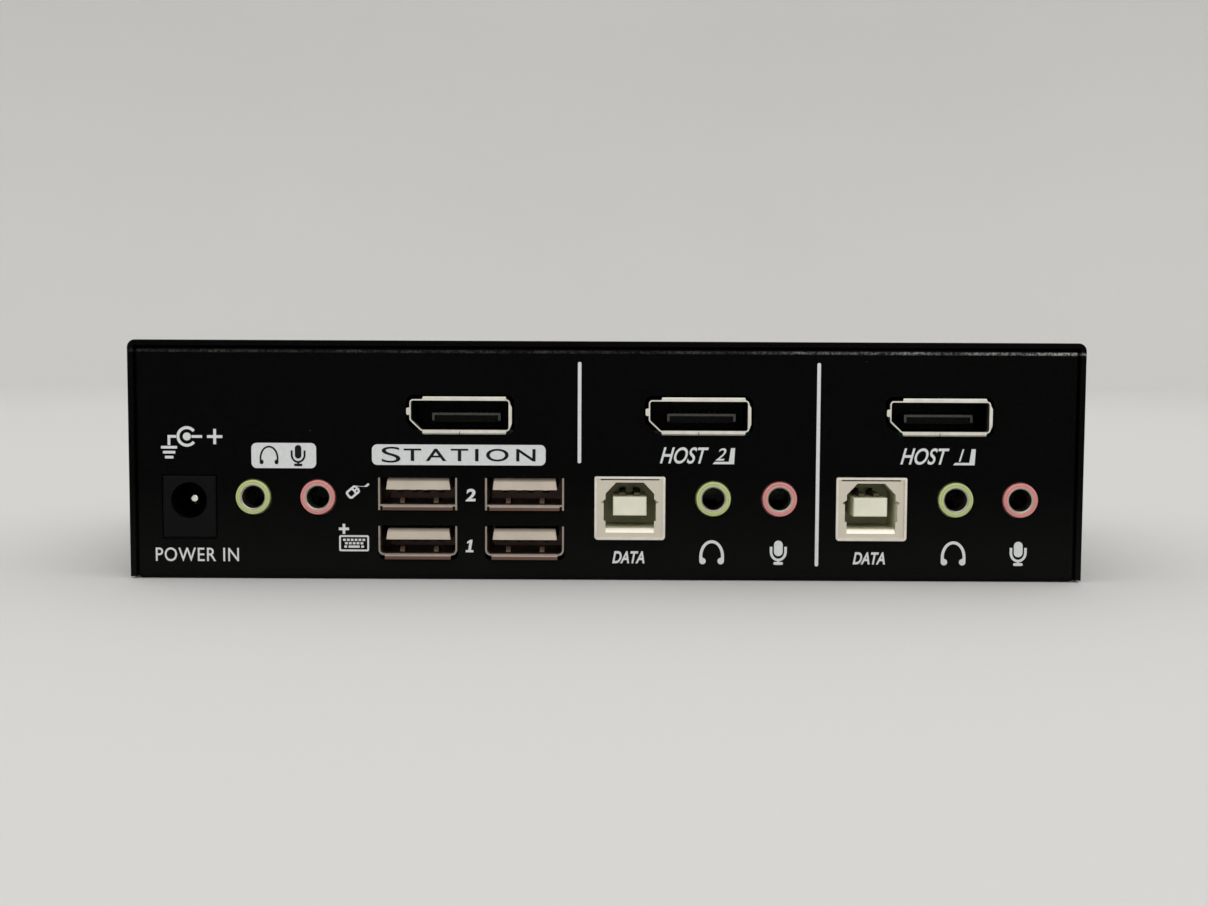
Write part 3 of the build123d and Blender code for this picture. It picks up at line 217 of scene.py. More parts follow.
def painted_fold_highlight(look, place):
    """1 along the upper fold of the socket wall, where a highlight is painted, stronger to the right as if
    lit from above right; 0 elsewhere.
    """
    low, high = PANEL_TOP - 1.05 * MM, PANEL_TOP - 0.40 * MM
    edge = 0.2 * MM
    return multiplied(look, [
        look.spread(place.outputs["Z"], 0.0, 1.0, low, low + edge),
        look.spread(place.outputs["Z"], 1.0, 0.0, high - edge, high),
        look.spread(place.outputs["Y"], 1.0, 0.0, PANEL_Y + 0.6 * MM, PANEL_Y + 0.9 * MM),
        look.spread(place.outputs["X"], 0.12, 1.0, 0.2 * panel_high.x, 0.9 * panel_high.x),
        look.spread(look.noise(0.35 * MM, 2.0), 0.1, 1.0, 0.40, 0.62),
        look.spread(look.noise(9 * MM, 2.0, stretch=(1.0, 0.0, 0.0)), 0.3, 1.0, 0.40, 0.60),
    ])


def powder_coat():
    """Black powder coat: fine pebbled skin, slow tone changes, a little dust, a painted floor reflection
    low on the wall and a painted highlight along the upper fold.
    """
    look = Look("powder_coat", Specular_IOR_Level=0.028)
    place = look.add("ShaderNodeSeparateXYZ")
    look.link(look.place, place.inputs["Vector"])
    cloud = look.spread(look.noise(30 * MM, 2.0), 0.0, 1.0)
    base = look.mix(cloud, (0.0010, 0.0010, 0.0010), (0.0014, 0.0014, 0.0014))
    grain = look.spread(look.noise(0.35 * MM, 2.0), 0.0, 0.5)
    base = look.mix(grain, base, (0.0030, 0.0030, 0.0030))
    # painted reflection of the bright floor: the wall painted lighter towards its bottom
    painted_floor_reflection = look.spread(place.outputs["Z"], 1.0, 0.0, 4 * MM, 17 * MM)
    base = look.mix(painted_floor_reflection, base, (0.0052, 0.0052, 0.0050))
    dust = specks(look, 4.5 * MM, 0.30, 0.035)
    base = look.mix(dust, base, (0.030, 0.030, 0.029))
    # painted highlight along the upper fold of the socket wall
    base = look.mix(painted_fold_highlight(look, place), base, (0.42, 0.42, 0.41))
    look.colour(base)
    look.roughness(look.spread(look.noise(8 * MM, 3.0), 0.45, 0.51))
    look.bump(look.noise(0.45 * MM, 1.5), 0.028 * MM, 0.7)
    look.bump(look.noise(2.2 * MM, 1.0), 0.03 * MM, 0.35)
    return look.material


def moulded(name, colour, roughness=0.42, tone=0.10, grain=0.25 * MM, relief=0.008 * MM, shadow=(),
            **fixed):
    """Injection-moulded plastic with faint flow marks, a fine spark-eroded grain, and any steps of painted
    shade given in shadow.
    """
    look = Look(name, **fixed)
    flow = look.spread(look.noise(3.0 * MM, 2.0, stretch=(1.0, 0.35, 1.0)), 0.0, 1.0)
    base = look.mix(flow, shade(colour, 1 - tone), shade(colour, 1 + tone))
    look.colour(look.shadow(base, shadow))
    look.roughness(look.spread(look.noise(1.5 * MM), roughness - 0.06, roughness + 0.06))
    look.bump(look.noise(grain, 2.0), relief, 0.6)
    return look.material


def plated(name, colour, roughness=0.30, tone=0.08, scratch=(1.0, 12.0, 1.0), shadow=()):
    """Stamped and plated sheet metal: drawn scratches, dull patches, slightly warm or cool tone, and any
    steps of painted shade given in shadow.
    """
    look = Look(name, Metallic=1.0)
    patches = look.spread(look.noise(1.6 * MM, 3.0), 0.0, 1.0)
    base = look.mix(patches, shade(colour, 1 - tone), shade(colour, 1 + tone))
    look.colour(look.shadow(base, shadow))
    lines = look.noise(0.5 * MM, 4.0, stretch=scratch)
    look.roughness(look.spread(lines, roughness - 0.07, roughness + 0.10))
    look.bump(lines, 0.003 * MM, 0.5)
    return look.material


def printed(name, colour):
    """Screen-printed ink: nearly flat, with pinholes and a dry, slightly uneven film."""
    look = Look(name, Specular_IOR_Level=0.10)
    film = look.spread(look.noise(0.5 * MM, 3.0), 0.0, 1.0)
    look.colour(look.mix(film, shade(colour, 0.93), shade(colour, 1.03)))
    look.roughness(look.spread(look.noise(0.8 * MM), 0.50, 0.68))
    look.bump(look.noise(0.12 * MM, 2.0), 0.004 * MM, 0.5)
    return look.material


def solder_mask():
    look = Look("solder_mask", Specular_IOR_Level=0.5)
    tone = look.spread(look.noise(5 * MM), 0.0, 1.0)
    look.colour(look.mix(tone, (0.008, 0.07, 0.03), (0.014, 0.10, 0.045)))
    look.roughness(look.spread(look.noise(1.0 * MM), 0.25, 0.38))
    look.bump(look.noise(0.6 * MM), 0.01 * MM, 0.5)
    return look.material


def lamp_lens():
    look = Look("lamp_lens", Transmission_Weight=0.35, Coat_Weight=0.6)
    tone = look.spread(look.noise(0.8 * MM), 0.0, 1.0)
    look.colour(look.mix(tone, (0.10, 0.32, 0.13), (0.16, 0.45, 0.18)))
    look.roughness(look.spread(look.noise(0.5 * MM), 0.10, 0.18))
    return look.material


def make_looks():
    """One material for each slot in the record."""
    nickel = (0.86, 0.83, 0.74)
    # Each shadow list is painted shade: colour darkened step by step with depth behind the socket wall,
    # inside sockets and bores where shade falls.
    return {
        "case_black": powder_coat(),
        "screw_black": plated("black_oxide", (0.045, 0.045, 0.048), 0.42),
        "label_black": moulded("label_film", (0.007, 0.007, 0.0075), 0.58, relief=0.003 * MM,
                               Specular_IOR_Level=0.2),
        "fastener_steel": plated("zinc_plate", (0.62, 0.62, 0.60), 0.34),
        "spacer_brass": plated("turned_brass", (0.72, 0.55, 0.26), 0.28),
        "board_green": solder_mask(),
        "component_black": moulded("component_epoxy", (0.018, 0.018, 0.018), 0.6),
        "crystal_steel": plated("crystal_can", (0.68, 0.68, 0.66), 0.30),
        "capacitor_sleeve": moulded("shrunk_sleeve", (0.015, 0.016, 0.03), 0.32),
        "ferrite_grey": moulded("pressed_ferrite", (0.06, 0.06, 0.06), 0.7),
        "ceramic_tan": moulded("ceramic", (0.42, 0.33, 0.22), 0.5),
        "displayport_nickel": plated("displayport_nickel", nickel, 0.34,
                                     shadow=[(0.1, 2.0, (0.012, 0.010, 0.008))]),
        "socket_black": moulded("socket_black", (0.004, 0.004, 0.004), 0.5, Specular_IOR_Level=0.08,
                                shadow=[(5.0, 8.0, (0.001, 0.001, 0.001))]),
        "inlet_black": moulded("inlet_black", (0.0034, 0.0034, 0.0036), 0.45, Specular_IOR_Level=0.08,
                               shadow=[(0.1, 2.0, (0.0006, 0.0006, 0.0006))]),
        "pin_nickel": plated("pin_nickel", (0.86, 0.85, 0.82), 0.16,
                             shadow=[(2.9, 4.5, (0.10, 0.10, 0.09))]),
        # painted shade: the lips in front of the wall painted darker and pinker, and the inside painted
        # darker with depth
        "usb_a_nickel": plated("usb_a_nickel", (0.76, 0.69, 0.60), 0.34,
                               shadow=[(-0.18, -0.40, (0.09, 0.053, 0.041)),
                                       (0.3, 1.4, (0.15, 0.10, 0.075))]),
        "usb_a_white": moulded("usb_a_white", (0.64, 0.56, 0.47), 0.40, tone=0.05,
                               shadow=[(0.6, 1.4, (0.17, 0.10, 0.075)),
                                       (8.0, 11.0, (0.24, 0.13, 0.10))]),
        # painted shade: the recessed plate painted darker than its rim, and the sill under it darker still
        "usb_b_nickel": plated("usb_b_nickel", (0.90, 0.86, 0.77), 0.36,
                               shadow=[(-0.50, -0.25, (0.78, 0.72, 0.61)),
                                       (-0.18, 0.2, (0.58, 0.56, 0.46))]),
        "usb_b_cream": moulded("usb_b_cream", (0.90, 0.89, 0.72), 0.45, tone=0.05,
                               shadow=[(1.2, 8.0, (0.42, 0.42, 0.25))]),
        "contact_gold": plated("contact_gold", (0.83, 0.66, 0.36), 0.24,
                               shadow=[(1.0, 5.0, (0.10, 0.06, 0.03))]),
        "contact_grey": plated("contact_grey", (0.085, 0.085, 0.08), 0.40,
                               shadow=[(4.3, 4.8, (0.03, 0.03, 0.03))]),
        # tin contacts deep in the USB-B sockets: their colour darkened as painted shade, and more with
        # depth
        "contact_tin": plated("contact_tin", (0.12, 0.105, 0.06), 0.36,
                              shadow=[(4.0, 9.0, (0.06, 0.055, 0.03))]),
        "jack_lime": moulded("jack_lime", (0.55, 0.64, 0.27), 0.30, tone=0.05,
                             shadow=[(0.6, 3.0, (0.01, 0.01, 0.005))]),
        "jack_pink": moulded("jack_pink", (0.76, 0.30, 0.29), 0.30, tone=0.05,
                             shadow=[(0.6, 3.0, (0.012, 0.006, 0.006))]),
        "bushing_nickel": plated("bushing_nickel", (0.56, 0.52, 0.44), 0.30,
                                 shadow=[(1.6, 3.8, (0.08, 0.07, 0.06))]),
        "button_grey": moulded("button_grey", (0.11, 0.11, 0.115), 0.40),
        "plunger_white": moulded("plunger_white", (0.62, 0.62, 0.60), 0.45),
        "lamp_green": lamp_lens(),
        "legend_white": printed("legend_white", (0.75, 0.77, 0.78)),
        "legend_dark": printed("legend_dark", (0.006, 0.011, 0.013)),
    }


def dress_nodes(looks):
    """Each CAD node shows the material of its slot."""
    for part in frame["record"]["subparts"]:
        mesh = frame["nodes"][part["node"]].data
        mesh.materials.clear()
        mesh.materials.append(looks[part["material_slot"]])


# ---- flat shapes for the printing -----------------------------------------------------------------------
def arc(centre, radius, start, end, steps=20):
    """Points on a circle from one angle to another, in degrees anticlockwise from +X."""
    angles = [math.radians(start + (end - start) * n / steps) for n in range(steps + 1)]
    return [(centre[0] + radius * math.cos(a), centre[1] + radius * math.sin(a)) for a in angles]


def circle(centre, radius, steps=40):
    return arc(centre, radius, 0, 360, steps)[:-1]


def rounded_box(centre, width, height, radius):
    """Outline of a rectangle with round corners."""
    across, up = width / 2 - radius, height / 2 - radius
    points = []
    for turn, (side_x, side_y) in enumerate(((1, 1), (-1, 1), (-1, -1), (1, -1))):
        corner = (centre[0] + side_x * across, centre[1] + side_y * up)
        points += arc(corner, radius, 90 * turn, 90 * turn + 90, 6)
    return points


def plus_sign(centre, reach, width):
    """Outline of a plus whose arms reach that far from the centre."""
    half = width / 2
    quarter = [(half, half), (half, reach), (-half, reach)]
    points = []
    for turn in range(4):
        angle = math.radians(90 * turn)
        cosine, sine = math.cos(angle), math.sin(angle)
        for x, y in quarter:
            points.append((centre[0] + x * cosine - y * sine, centre[1] + x * sine + y * cosine))
    return points


def stroke(points, width):
    """Outline of a line of the given width along the points, with square ends."""
    line = [Vector(p) for p in points]
    left, right = [], []
    for n, point in enumerate(line):
        before = (point - line[n - 1]).normalized() if n > 0 else None
        after = (line[n + 1] - point).normalized() if n < len(line) - 1 else None
        along = (before or after) + (after or before)
        along.normalize()
        normal = Vector((-along.y, along.x))
        bend = normal.dot(Vector((-(after or before).y, (after or before).x)))
        shift = normal * (width / 2 / max(bend, 0.3))
        left.append(tuple(point + shift))
        right.append(tuple(point - shift))
    return left + right[::-1]


def turned(loops, angle, centre=(0, 0)):
    """The same outlines turned about a point, in degrees."""
    cosine, sine = math.cos(math.radians(angle)), math.sin(math.radians(angle))
    mid_x, mid_y = centre

    def turn(point):
        across, up = point[0] - mid_x, point[1] - mid_y
        return mid_x + across * cosine - up * sine, mid_y + across * sine + up * cosine

    return [[turn(point) for point in loop] for loop in loops]


def mesh_of_curve(curve):
    """A curve's filled and extruded shape as a clean mesh."""
    holder = bpy.data.objects.new("holder", curve)
    bpy.context.scene.collection.objects.link(holder)
    bpy.context.view_layer.update()
    mesh = bpy.data.meshes.new_from_object(holder.evaluated_get(bpy.context.evaluated_depsgraph_get()))
    bpy.data.objects.remove(holder)
    bpy.data.curves.remove(curve)
    return mesh


def print_piece(name, mesh, side, face_y, slot, looks):
    """Stands a flat mesh on a wall: side is -1 on the socket wall and 1 on the button wall."""
    for vertex in mesh.vertices:
        x, y, z = vertex.co
        lift = INK if z > 0 else 0.0
        vertex.co = (-side * x, face_y + side * lift, y)
    shape = bmesh.new()
    shape.from_mesh(mesh)
    bmesh.ops.remove_doubles(shape, verts=shape.verts, dist=0.001 * MM)
    bmesh.ops.recalc_face_normals(shape, faces=shape.faces)
    shape.to_mesh(mesh)
    shape.free()
    mesh.materials.clear()
    mesh.materials.append(looks[slot])
    piece = bpy.data.objects.new(name, mesh)
    bpy.context.scene.collection.objects.link(piece)
    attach(piece, "case")
    return piece


def print_loops(name, loops, looks, slot="legend_white", side=-1, face_y=None):
    """Prints outlines given in millimetres, X and Z of the frame; a loop inside a loop is a hole."""
    curve = bpy.data.curves.new(name, "CURVE")
    curve.dimensions = "2D"
    curve.fill_mode = "BOTH"
    curve.extrude = 1.0
    for loop in loops:
        spline = curve.splines.new("POLY")
        spline.points.add(len(loop) - 1)
        for point, (x, z) in zip(spline.points, loop):
            point.co = (-side * x * MM, z * MM, 0, 1)
        spline.use_cyclic_u = True
    mesh = mesh_of_curve(curve)
    return print_piece(name, mesh, side, PANEL_Y if face_y is None else face_y, slot, looks)


def print_words(name, words, centre, size, looks, weight=0.0, spacing=1.0, slant=0.0,
                slot="legend_white", side=-1, face_y=None):
    """Prints words in the plain built-in letters, stretched to size, both in millimetres."""
    curve = bpy.data.curves.new(name, "FONT")
    curve.body = words
    curve.space_character = spacing
    curve.shear = slant
    curve.offset = weight
    curve.resolution_u = 6
    curve.extrude = 1.0
    mesh = mesh_of_curve(curve)
    low = [min(v.co[i] for v in mesh.vertices) for i in (0, 1)]
    high = [max(v.co[i] for v in mesh.vertices) for i in (0, 1)]
    for vertex in mesh.vertices:
        across = (vertex.co.x - low[0]) / (high[0] - low[0]) - 0.5
        up = (vertex.co.y - low[1]) / (high[1] - low[1]) - 0.5
        vertex.co.x = -side * centre[0] * MM + across * size[0] * MM
        vertex.co.y = (centre[1] + up * size[1]) * MM
    return print_piece(name, mesh, side, PANEL_Y if face_y is None else face_y, slot, looks)


# ---- symbols, in millimetres around a centre -----------------------------------------------------------
def half_oval(centre, across, up, steps=28):
    """Points from an oval's right end to its left end: over the top, or underneath if up is negative."""
    return [(centre[0] + across * x, centre[1] + up * z) for x, z in arc((0, 0), 1.0, 0, 180, steps)]


def headphones(centre, width, line, pad):
    """One outline of an arched head band that ends in a round pad on each side."""
    x, z = centre
    pad_width, pad_height = pad
    outer, inner = width / 2, width / 2 - line
    arch = 0.5 * (width - line)
    rise, spring = 1.36 * arch, z - 0.39 * arch
    low = spring - 0.44 * arch - pad_height / 2
    high = low + pad_height
    corner = min(pad_width - line, pad_height / 2)
    far = outer - pad_width + corner
    side = arc((outer - corner, low + corner), corner, 0, -90, 8)
    side += arc((far, low + corner), corner, -90, -180, 8)
    side += arc((far, high - corner), corner, 180, 90, 8)
    outline = half_oval((x, spring), outer, rise + line / 2)
    outline += [(x - across, up) for across, up in side]
    outline += half_oval((x, spring), inner, rise - line / 2)[::-1]
    return [outline + [(x + across, up) for across, up in reversed(side)]]


def microphone(centre, height, line, capsule_width):
    """A capsule in a cradle on a short stand; its four outlines touch but don't overlap."""
    x, z = centre
    capsule_height = 0.64 * height
    capsule_z = z + (height - capsule_height) / 2
    capsule = rounded_box((x, capsule_z), capsule_width, capsule_height, capsule_width / 2 - 0.01)
    across = 0.35 * height - line / 2
    spring, cradle_top, drop = z + 0.04 * height, z + 0.245 * height, 0.34 * height
    lower_half = half_oval((x, spring), across, -drop)[::-1]
    cradle = stroke([(x - across, cradle_top), *lower_half, (x + across, cradle_top)], line)
    foot, thickness = z - height / 2, 0.12 * height
    stem_low, stem_high = foot + thickness, spring - drop - line / 2
    stem = rounded_box((x, (stem_low + stem_high) / 2), 0.35, stem_high - stem_low, 0.01)
    base = rounded_box((x, foot + thickness / 2), 0.39 * height, thickness, 0.45 * thickness)
    return [capsule, cradle, stem, base]


def mouse(centre):
    """A tilted two-button mouse with its lead waving to the right."""
    x, z = centre
    body = rounded_box((x, z), 1.6, 2.3, 0.5)
    left_button = rounded_box((x - 0.28, z + 0.62), 0.26, 0.36, 0.08)
    right_button = rounded_box((x + 0.28, z + 0.62), 0.26, 0.36, 0.08)
    palm = rounded_box((x, z - 0.32), 0.86, 0.92, 0.22)
    tilted = turned([body, left_button, right_button, palm], -50, centre)
    lead = ((0.62, 0.92), (1.1, 0.84), (1.95, 0.84), (2.3, 1.05), (2.72, 1.42))
    return [*tilted, stroke([(x + across, z + up) for across, up in lead], 0.36)]


def digit_one(centre, width, height):
    """A slanted 1 with a flag and a foot."""
    x, z = centre
    points = (
        (-0.50, -0.50), (-0.46, -0.32), (-0.17, -0.32), (-0.02, 0.25), (-0.32, 0.20), (-0.28, 0.35),
        (0.09, 0.50), (0.40, 0.50), (0.18, -0.32), (0.47, -0.32), (0.50, -0.50),
    )
    return [[(x + across * width, z + up * height) for across, up in points]]


def keyboard(centre, width, height):
    """A frame around three rows of keys, the lowest with a space bar."""
    x, z = centre
    line, row_pitch, key_pitch = 0.3, 0.58, 0.66
    key_width, key_height, key_corner, bar_width, beside_bar = 0.46, 0.38, 0.05, 1.9, 1.45
    loops = [
        rounded_box(centre, width, height, 0.3),
        rounded_box(centre, width - 2 * line, height - 2 * line, 0.1),
    ]
    for row, count in ((z + row_pitch, 6), (z, 5)):
        for n in range(count):
            key_x = x + (n - (count - 1) / 2) * key_pitch
            loops.append(rounded_box((key_x, row), key_width, key_height, key_corner))
    lowest = z - row_pitch
    loops.append(rounded_box((x, lowest), bar_width, key_height, key_corner))
    for key_x in (x - beside_bar, x + beside_bar):
        loops.append(rounded_box((key_x, lowest), key_width, key_height, key_corner))
    return loops


def polarity(centre):
    """Centre-positive power symbol: earth on the left, ring, dot and plus on the right."""
    x, z = centre
    line, earth_x, plus_x = 0.46, x - 3.05, x + 4.73
    ring = stroke(arc(centre, 1.5, 38, 322, 36), 0.5)
    dot = circle(centre, 0.68)
    wire = stroke([(x + 0.78, z), (x + 2.6, z)], line)
    earth_wire = stroke([(x - 1.83, z), (earth_x, z), (earth_x, z - 1.5)], line)
    bars = []
    for n in range(3):
        bars.append(rounded_box((earth_x, z - 1.85 - 0.84 * n), 2.75 - 0.65 * n, line, 0.1))
    return [ring, dot, wire, earth_wire, *bars, plus_sign((plus_x, z), 1.3, 0.48)]


# ---- the printing on the two walls ---------------------------------------------------------------------
# All sizes are in millimetres, as (width, height); rows are heights above the jacks' axes.
# The small shifts in the calls are where the printing sits off the sockets' axes.
DIVIDER_WIDTH = 0.6
DIVIDER_TOP_GAP = 2.38  # below the top of the socket wall
SHORT_DIVIDER_ROW = 6.0  # lower end of the divider that stops above the sockets
LONG_DIVIDER_ROW = -11.45
PLATE_CORNER = 0.9
CONSOLE_PLATE = (29.5, 3.5)
CONSOLE_INITIAL = (3.2, 2.7)
CONSOLE_WORD = (22.4, 2.15)
AUDIO_PLATE = (11.0, 4.3)
NAME_ROW = 7.4
HOST_SIZE = (8.3, 2.8)
HOST_SLANT = 0.35
DATA_ROW = -10.04
DATA_SIZE = (5.5, 2.1)
HEADPHONES_ROW = -9.1
HEADPHONES = {"width": 4.2, "line": 0.5, "pad": (1.1, 1.1)}
SMALL_HEADPHONES = {"width": 3.2, "line": 0.3, "pad": (0.66, 0.8)}
MICROPHONE_ROW = -9.15
MICROPHONE = {"height": 4.15, "line": 0.44, "capsule_width": 1.5}
SMALL_MICROPHONE = {"height": 3.6, "line": 0.33, "capsule_width": 1.1}
POLARITY_ROW = 10.25
POWER_ROW = -9.9
POWER_SIZE = (14.2, 2.35)
UPPER_PORT_ROW = 0.48
LOWER_PORT_ROW = -8.25
PORT_DIGIT_HEIGHT = 2.15
MOUSE_ROW = 0.9
PLUS_ROW = -5.4
KEYBOARD_ROW = -7.86
KEYBOARD_SIZE = (5.1, 2.75)
BUTTON_DIGIT_RISE = 6.6  # above the middle of a button
BUTTON_DIGIT_HEIGHT = 3.0
LABEL_MARGIN = 1.5  # from the label's edge to its printed frame
LABEL_LINE = 0.3


def print_dividers(looks):
    """Two lines that part the console from each computer's sockets."""
    top = PANEL_TOP / MM - DIVIDER_TOP_GAP
    after_console = gap_middle("usb_a_shell_right", "usb_b_shell_computer_2")
    between_computers = gap_middle("microphone_jack_computer_2", "usb_b_shell_computer_1")
    spots = (
        ("divider_1", after_console, JACK_ROW + SHORT_DIVIDER_ROW),
        ("divider_2", between_computers, JACK_ROW + LONG_DIVIDER_ROW),
    )
    for name, x, low in spots:
        line = rounded_box((x / MM, (low + top) / 2), DIVIDER_WIDTH, top - low, 0.25)
        print_loops(name, [line], looks)


def print_plates(looks):
    """Pale plates with dark lettering: the console's name, and the console's two audio symbols."""
    console = middle("displayport_shell_console") / MM
    height = (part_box("usb_a_shell_left")[1].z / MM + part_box("displayport_shell_console")[0].z / MM) / 2
    plate = rounded_box((console.x - 0.1, height), *CONSOLE_PLATE, PLATE_CORNER)
    print_loops("plate_console", [plate], looks)
    face = PANEL_Y - INK
    print_words("letter_console", "S", (console.x - 11.6, height), CONSOLE_INITIAL, looks,
                weight=-0.004, slot="legend_dark", face_y=face)
    print_words("words_console", "TATION", (console.x + 1.75, height), CONSOLE_WORD, looks,
                weight=0.008, spacing=1.3, slot="legend_dark", face_y=face)
    head_x = middle("headphone_jack_console").x / MM
    mic_x = middle("microphone_jack_console").x / MM
    centre = ((head_x + mic_x) / 2 - 0.27, height - 0.23)
    print_loops("plate_audio", [rounded_box(centre, *AUDIO_PLATE, PLATE_CORNER)], looks)
    phones = headphones((centre[0] - 2.5, centre[1] + 0.1), **SMALL_HEADPHONES)
    print_loops("symbol_headphones_console", phones, looks, slot="legend_dark", face_y=face)
    voice = microphone((centre[0] + 2.45, centre[1]), **SMALL_MICROPHONE)
    print_loops("symbol_microphone_console", voice, looks, slot="legend_dark", face_y=face)


def digit_shade(centre):
    """The underline and upright bar that frame a computer's number."""
    x, z = centre
    points = ((2.5, -1.46), (2.85, -1.05), (5.25, -1.05), (5.6, 1.28), (6.3, 1.28), (6.15, -1.46))
    return [[(x + across, z + up) for across, up in points]]


def print_computer_legends(looks):
    """The name above each computer's sockets and the symbols below them."""
    name_z = JACK_ROW + NAME_ROW
    for number, digit_width in (("1", 0.9), ("2", 1.85)):
        computer = f"computer_{number}"
        name_x = middle(f"displayport_shell_{computer}").x / MM
        print_words(f"words_host_{number}", "HOST", (name_x - 2.3, name_z), HOST_SIZE, looks,
                    weight=0.014, slant=HOST_SLANT)
        print_words(f"digit_host_{number}", number, (name_x + 3.9, name_z + 0.2), (digit_width, 2.1), looks,
                    weight=0.006, slant=HOST_SLANT)
        print_loops(f"digit_shade_{number}", digit_shade((name_x, name_z)), looks)
        data_x = middle(f"usb_b_shell_{computer}").x / MM - 0.2
        print_words(f"words_data_{number}", "DATA", (data_x, JACK_ROW + DATA_ROW), DATA_SIZE, looks,
                    weight=0.028, slant=0.25)
        head_x = middle(f"headphone_jack_{computer}").x / MM - 0.2
        mic_x = middle(f"microphone_jack_{computer}").x / MM - 0.1
        phones = headphones((head_x, JACK_ROW + HEADPHONES_ROW), **HEADPHONES)
        print_loops(f"symbol_headphones_{number}", phones, looks)
        voice = microphone((mic_x, JACK_ROW + MICROPHONE_ROW), **MICROPHONE)
        print_loops(f"symbol_microphone_{number}", voice, looks)


def print_console_symbols(looks):
    """The port numbers, the keyboard and mouse signs, and the two legends of the power inlet."""
    between_stacks = gap_middle("usb_a_shell_left", "usb_a_shell_right") / MM
    upper = (between_stacks - 0.1, JACK_ROW + UPPER_PORT_ROW)
    print_words("digit_upper", "2", upper, (1.72, PORT_DIGIT_HEIGHT), looks, weight=0.035, slant=0.1)
    lower = (between_stacks - 0.3, JACK_ROW + LOWER_PORT_ROW)
    print_loops("digit_lower", digit_one(lower, 1.35, PORT_DIGIT_HEIGHT), looks)
    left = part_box("usb_a_shell_left")[0].x / MM
    print_loops("symbol_mouse", mouse((left - 4.35, JACK_ROW + MOUSE_ROW)), looks)
    keys = keyboard((left - 4.2, JACK_ROW + KEYBOARD_ROW), *KEYBOARD_SIZE)
    print_loops("symbol_keyboard", keys, looks)
    print_loops("symbol_and", [plus_sign((left - 5.92, JACK_ROW + PLUS_ROW), 0.86, 0.46)], looks)
    inlet_x = middle("inlet_housing").x / MM
    print_loops("symbol_polarity", polarity((inlet_x - 0.3, JACK_ROW + POLARITY_ROW)), looks)
    print_words("words_power", "POWER IN", (inlet_x + 1.2, JACK_ROW + POWER_ROW), POWER_SIZE, looks,
                weight=0.006, spacing=1.1)


def print_front(looks):
    """Numbers above the two buttons, and a fine frame around the label."""
    first, second = (middle(f"select_button_{number}") / MM for number in (1, 2))
    from_outside = digit_one((-first.x, first.z + BUTTON_DIGIT_RISE), 1.9, BUTTON_DIGIT_HEIGHT)
    digit = [[(-x, z) for x, z in loop] for loop in from_outside]
    print_loops("digit_button_1", digit, looks, side=1, face_y=LABEL_Y)
    place = (second.x, second.z + BUTTON_DIGIT_RISE)
    print_words("digit_button_2", "2", place, (2.1, BUTTON_DIGIT_HEIGHT), looks,
                weight=0.03, slant=0.1, side=1, face_y=LABEL_Y)
    low, high = (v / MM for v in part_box("front_label"))
    centre = ((low.x + high.x) / 2, (low.z + high.z) / 2)
    width, height = high.x - low.x - 2 * LABEL_MARGIN, high.z - low.z - 2 * LABEL_MARGIN
    outer = rounded_box(centre, width, height, 1.2)
    inner = rounded_box(centre, width - 2 * LABEL_LINE, height - 2 * LABEL_LINE, 0.9)
    print_loops("label_frame", [outer, inner], looks, side=1, face_y=LABEL_Y)


# ---- surroundings ----------------------------------------------------------------------------------------
FLOOR_RADIUS = 1.6  # all in metres
WALL_CURVE = 0.6
WALL_TOP = 1.1
SKY_STRENGTH = 1.02
SKY_COLOUR = (1.0, 0.995, 0.98)
LIGHT_ABOVE = {"place": (0.5, -0.6, 2.2), "target": (0, 0, 0), "size": (2.0, 2.0), "power": 3.0}
LIGHT_FRONT = {"place": (0.5, -1.9, 1.3), "target": (0, 0, 0.02), "size": (1.2, 0.8), "power": 5.0}


def backdrop_look():
    look = Look("backdrop", Roughness=0.9, Specular_IOR_Level=0.1)
    tone = look.spread(look.noise(0.6, 2.0), 0.0, 1.0)
    look.colour(look.mix(tone, (0.65, 0.645, 0.63), (0.67, 0.665, 0.65)))
    return look.material


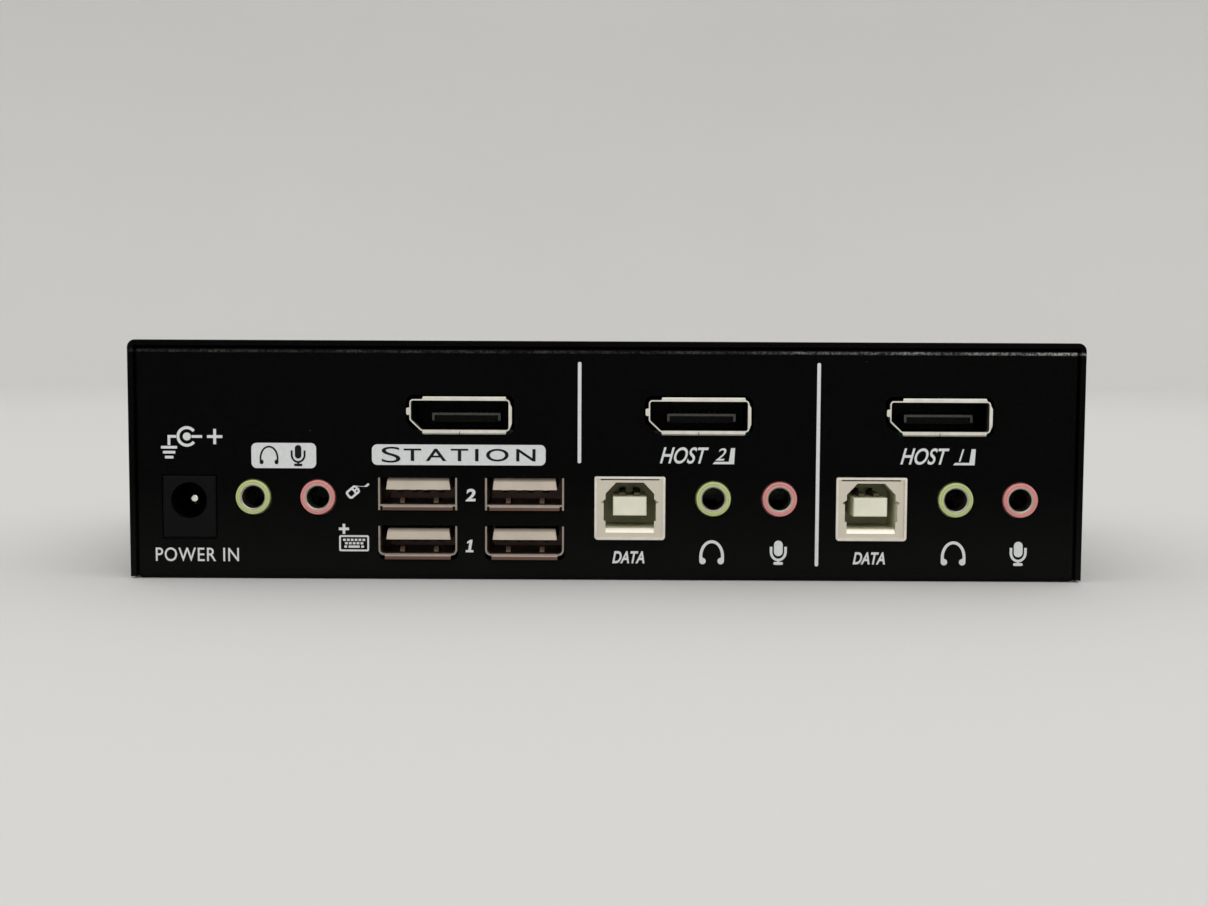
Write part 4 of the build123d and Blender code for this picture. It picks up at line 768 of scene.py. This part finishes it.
def make_backdrop():
    """A round pale floor that curves up into a wall on every side."""
    profile = [(0.0, 0.0), (0.3, 0.0), (FLOOR_RADIUS, 0.0)]
    profile += [(FLOOR_RADIUS + x, WALL_CURVE + z) for x, z in arc((0, 0), WALL_CURVE, -90, 0, 16)[1:]]
    profile.append((FLOOR_RADIUS + WALL_CURVE, WALL_TOP))
    shape = bmesh.new()
    points = [shape.verts.new((r, 0, z)) for r, z in profile]
    edges = [shape.edges.new(pair) for pair in zip(points, points[1:])]
    bmesh.ops.spin(shape, geom=points + edges, cent=(0, 0, 0), axis=(0, 0, 1), angle=math.tau, steps=64)
    bmesh.ops.remove_doubles(shape, verts=shape.verts, dist=0.0001)
    for face in shape.faces:
        face.smooth = True
    bmesh.ops.recalc_face_normals(shape, faces=shape.faces)
    mesh = bpy.data.meshes.new("backdrop")
    shape.to_mesh(mesh)
    shape.free()
    mesh.materials.append(backdrop_look())
    backdrop = bpy.data.objects.new("backdrop", mesh)
    bpy.context.scene.collection.objects.link(backdrop)


def soft_light(name, place, target, size, power):
    """A rectangular soft light at place, turned to target."""
    data = bpy.data.lights.new(name, "AREA")
    data.shape = "RECTANGLE"
    data.size, data.size_y = size
    data.energy = power
    light = bpy.data.objects.new(name, data)
    light.location = place
    light.rotation_mode = "QUATERNION"
    light.rotation_quaternion = (Vector(target) - Vector(place)).to_track_quat("-Z", "Y")
    light.visible_camera = False
    bpy.context.scene.collection.objects.link(light)


def make_light():
    """An even pale sky, a broad soft light above and a weak one in front."""
    soft_light("light_above", **LIGHT_ABOVE)
    soft_light("light_front", **LIGHT_FRONT)
    world = bpy.data.worlds.new("sky")
    world.use_nodes = True
    background = world.node_tree.nodes["Background"]
    background.inputs["Color"].default_value = (*SKY_COLOUR, 1)
    background.inputs["Strength"].default_value = SKY_STRENGTH
    bpy.context.scene.world = world


make_camera()
make_backdrop()
make_light()
LOOKS = make_looks()
dress_nodes(LOOKS)
print_dividers(LOOKS)
print_plates(LOOKS)
print_computer_legends(LOOKS)
print_console_symbols(LOOKS)
print_front(LOOKS)
bpy.context.scene.view_settings.view_transform = "Standard"
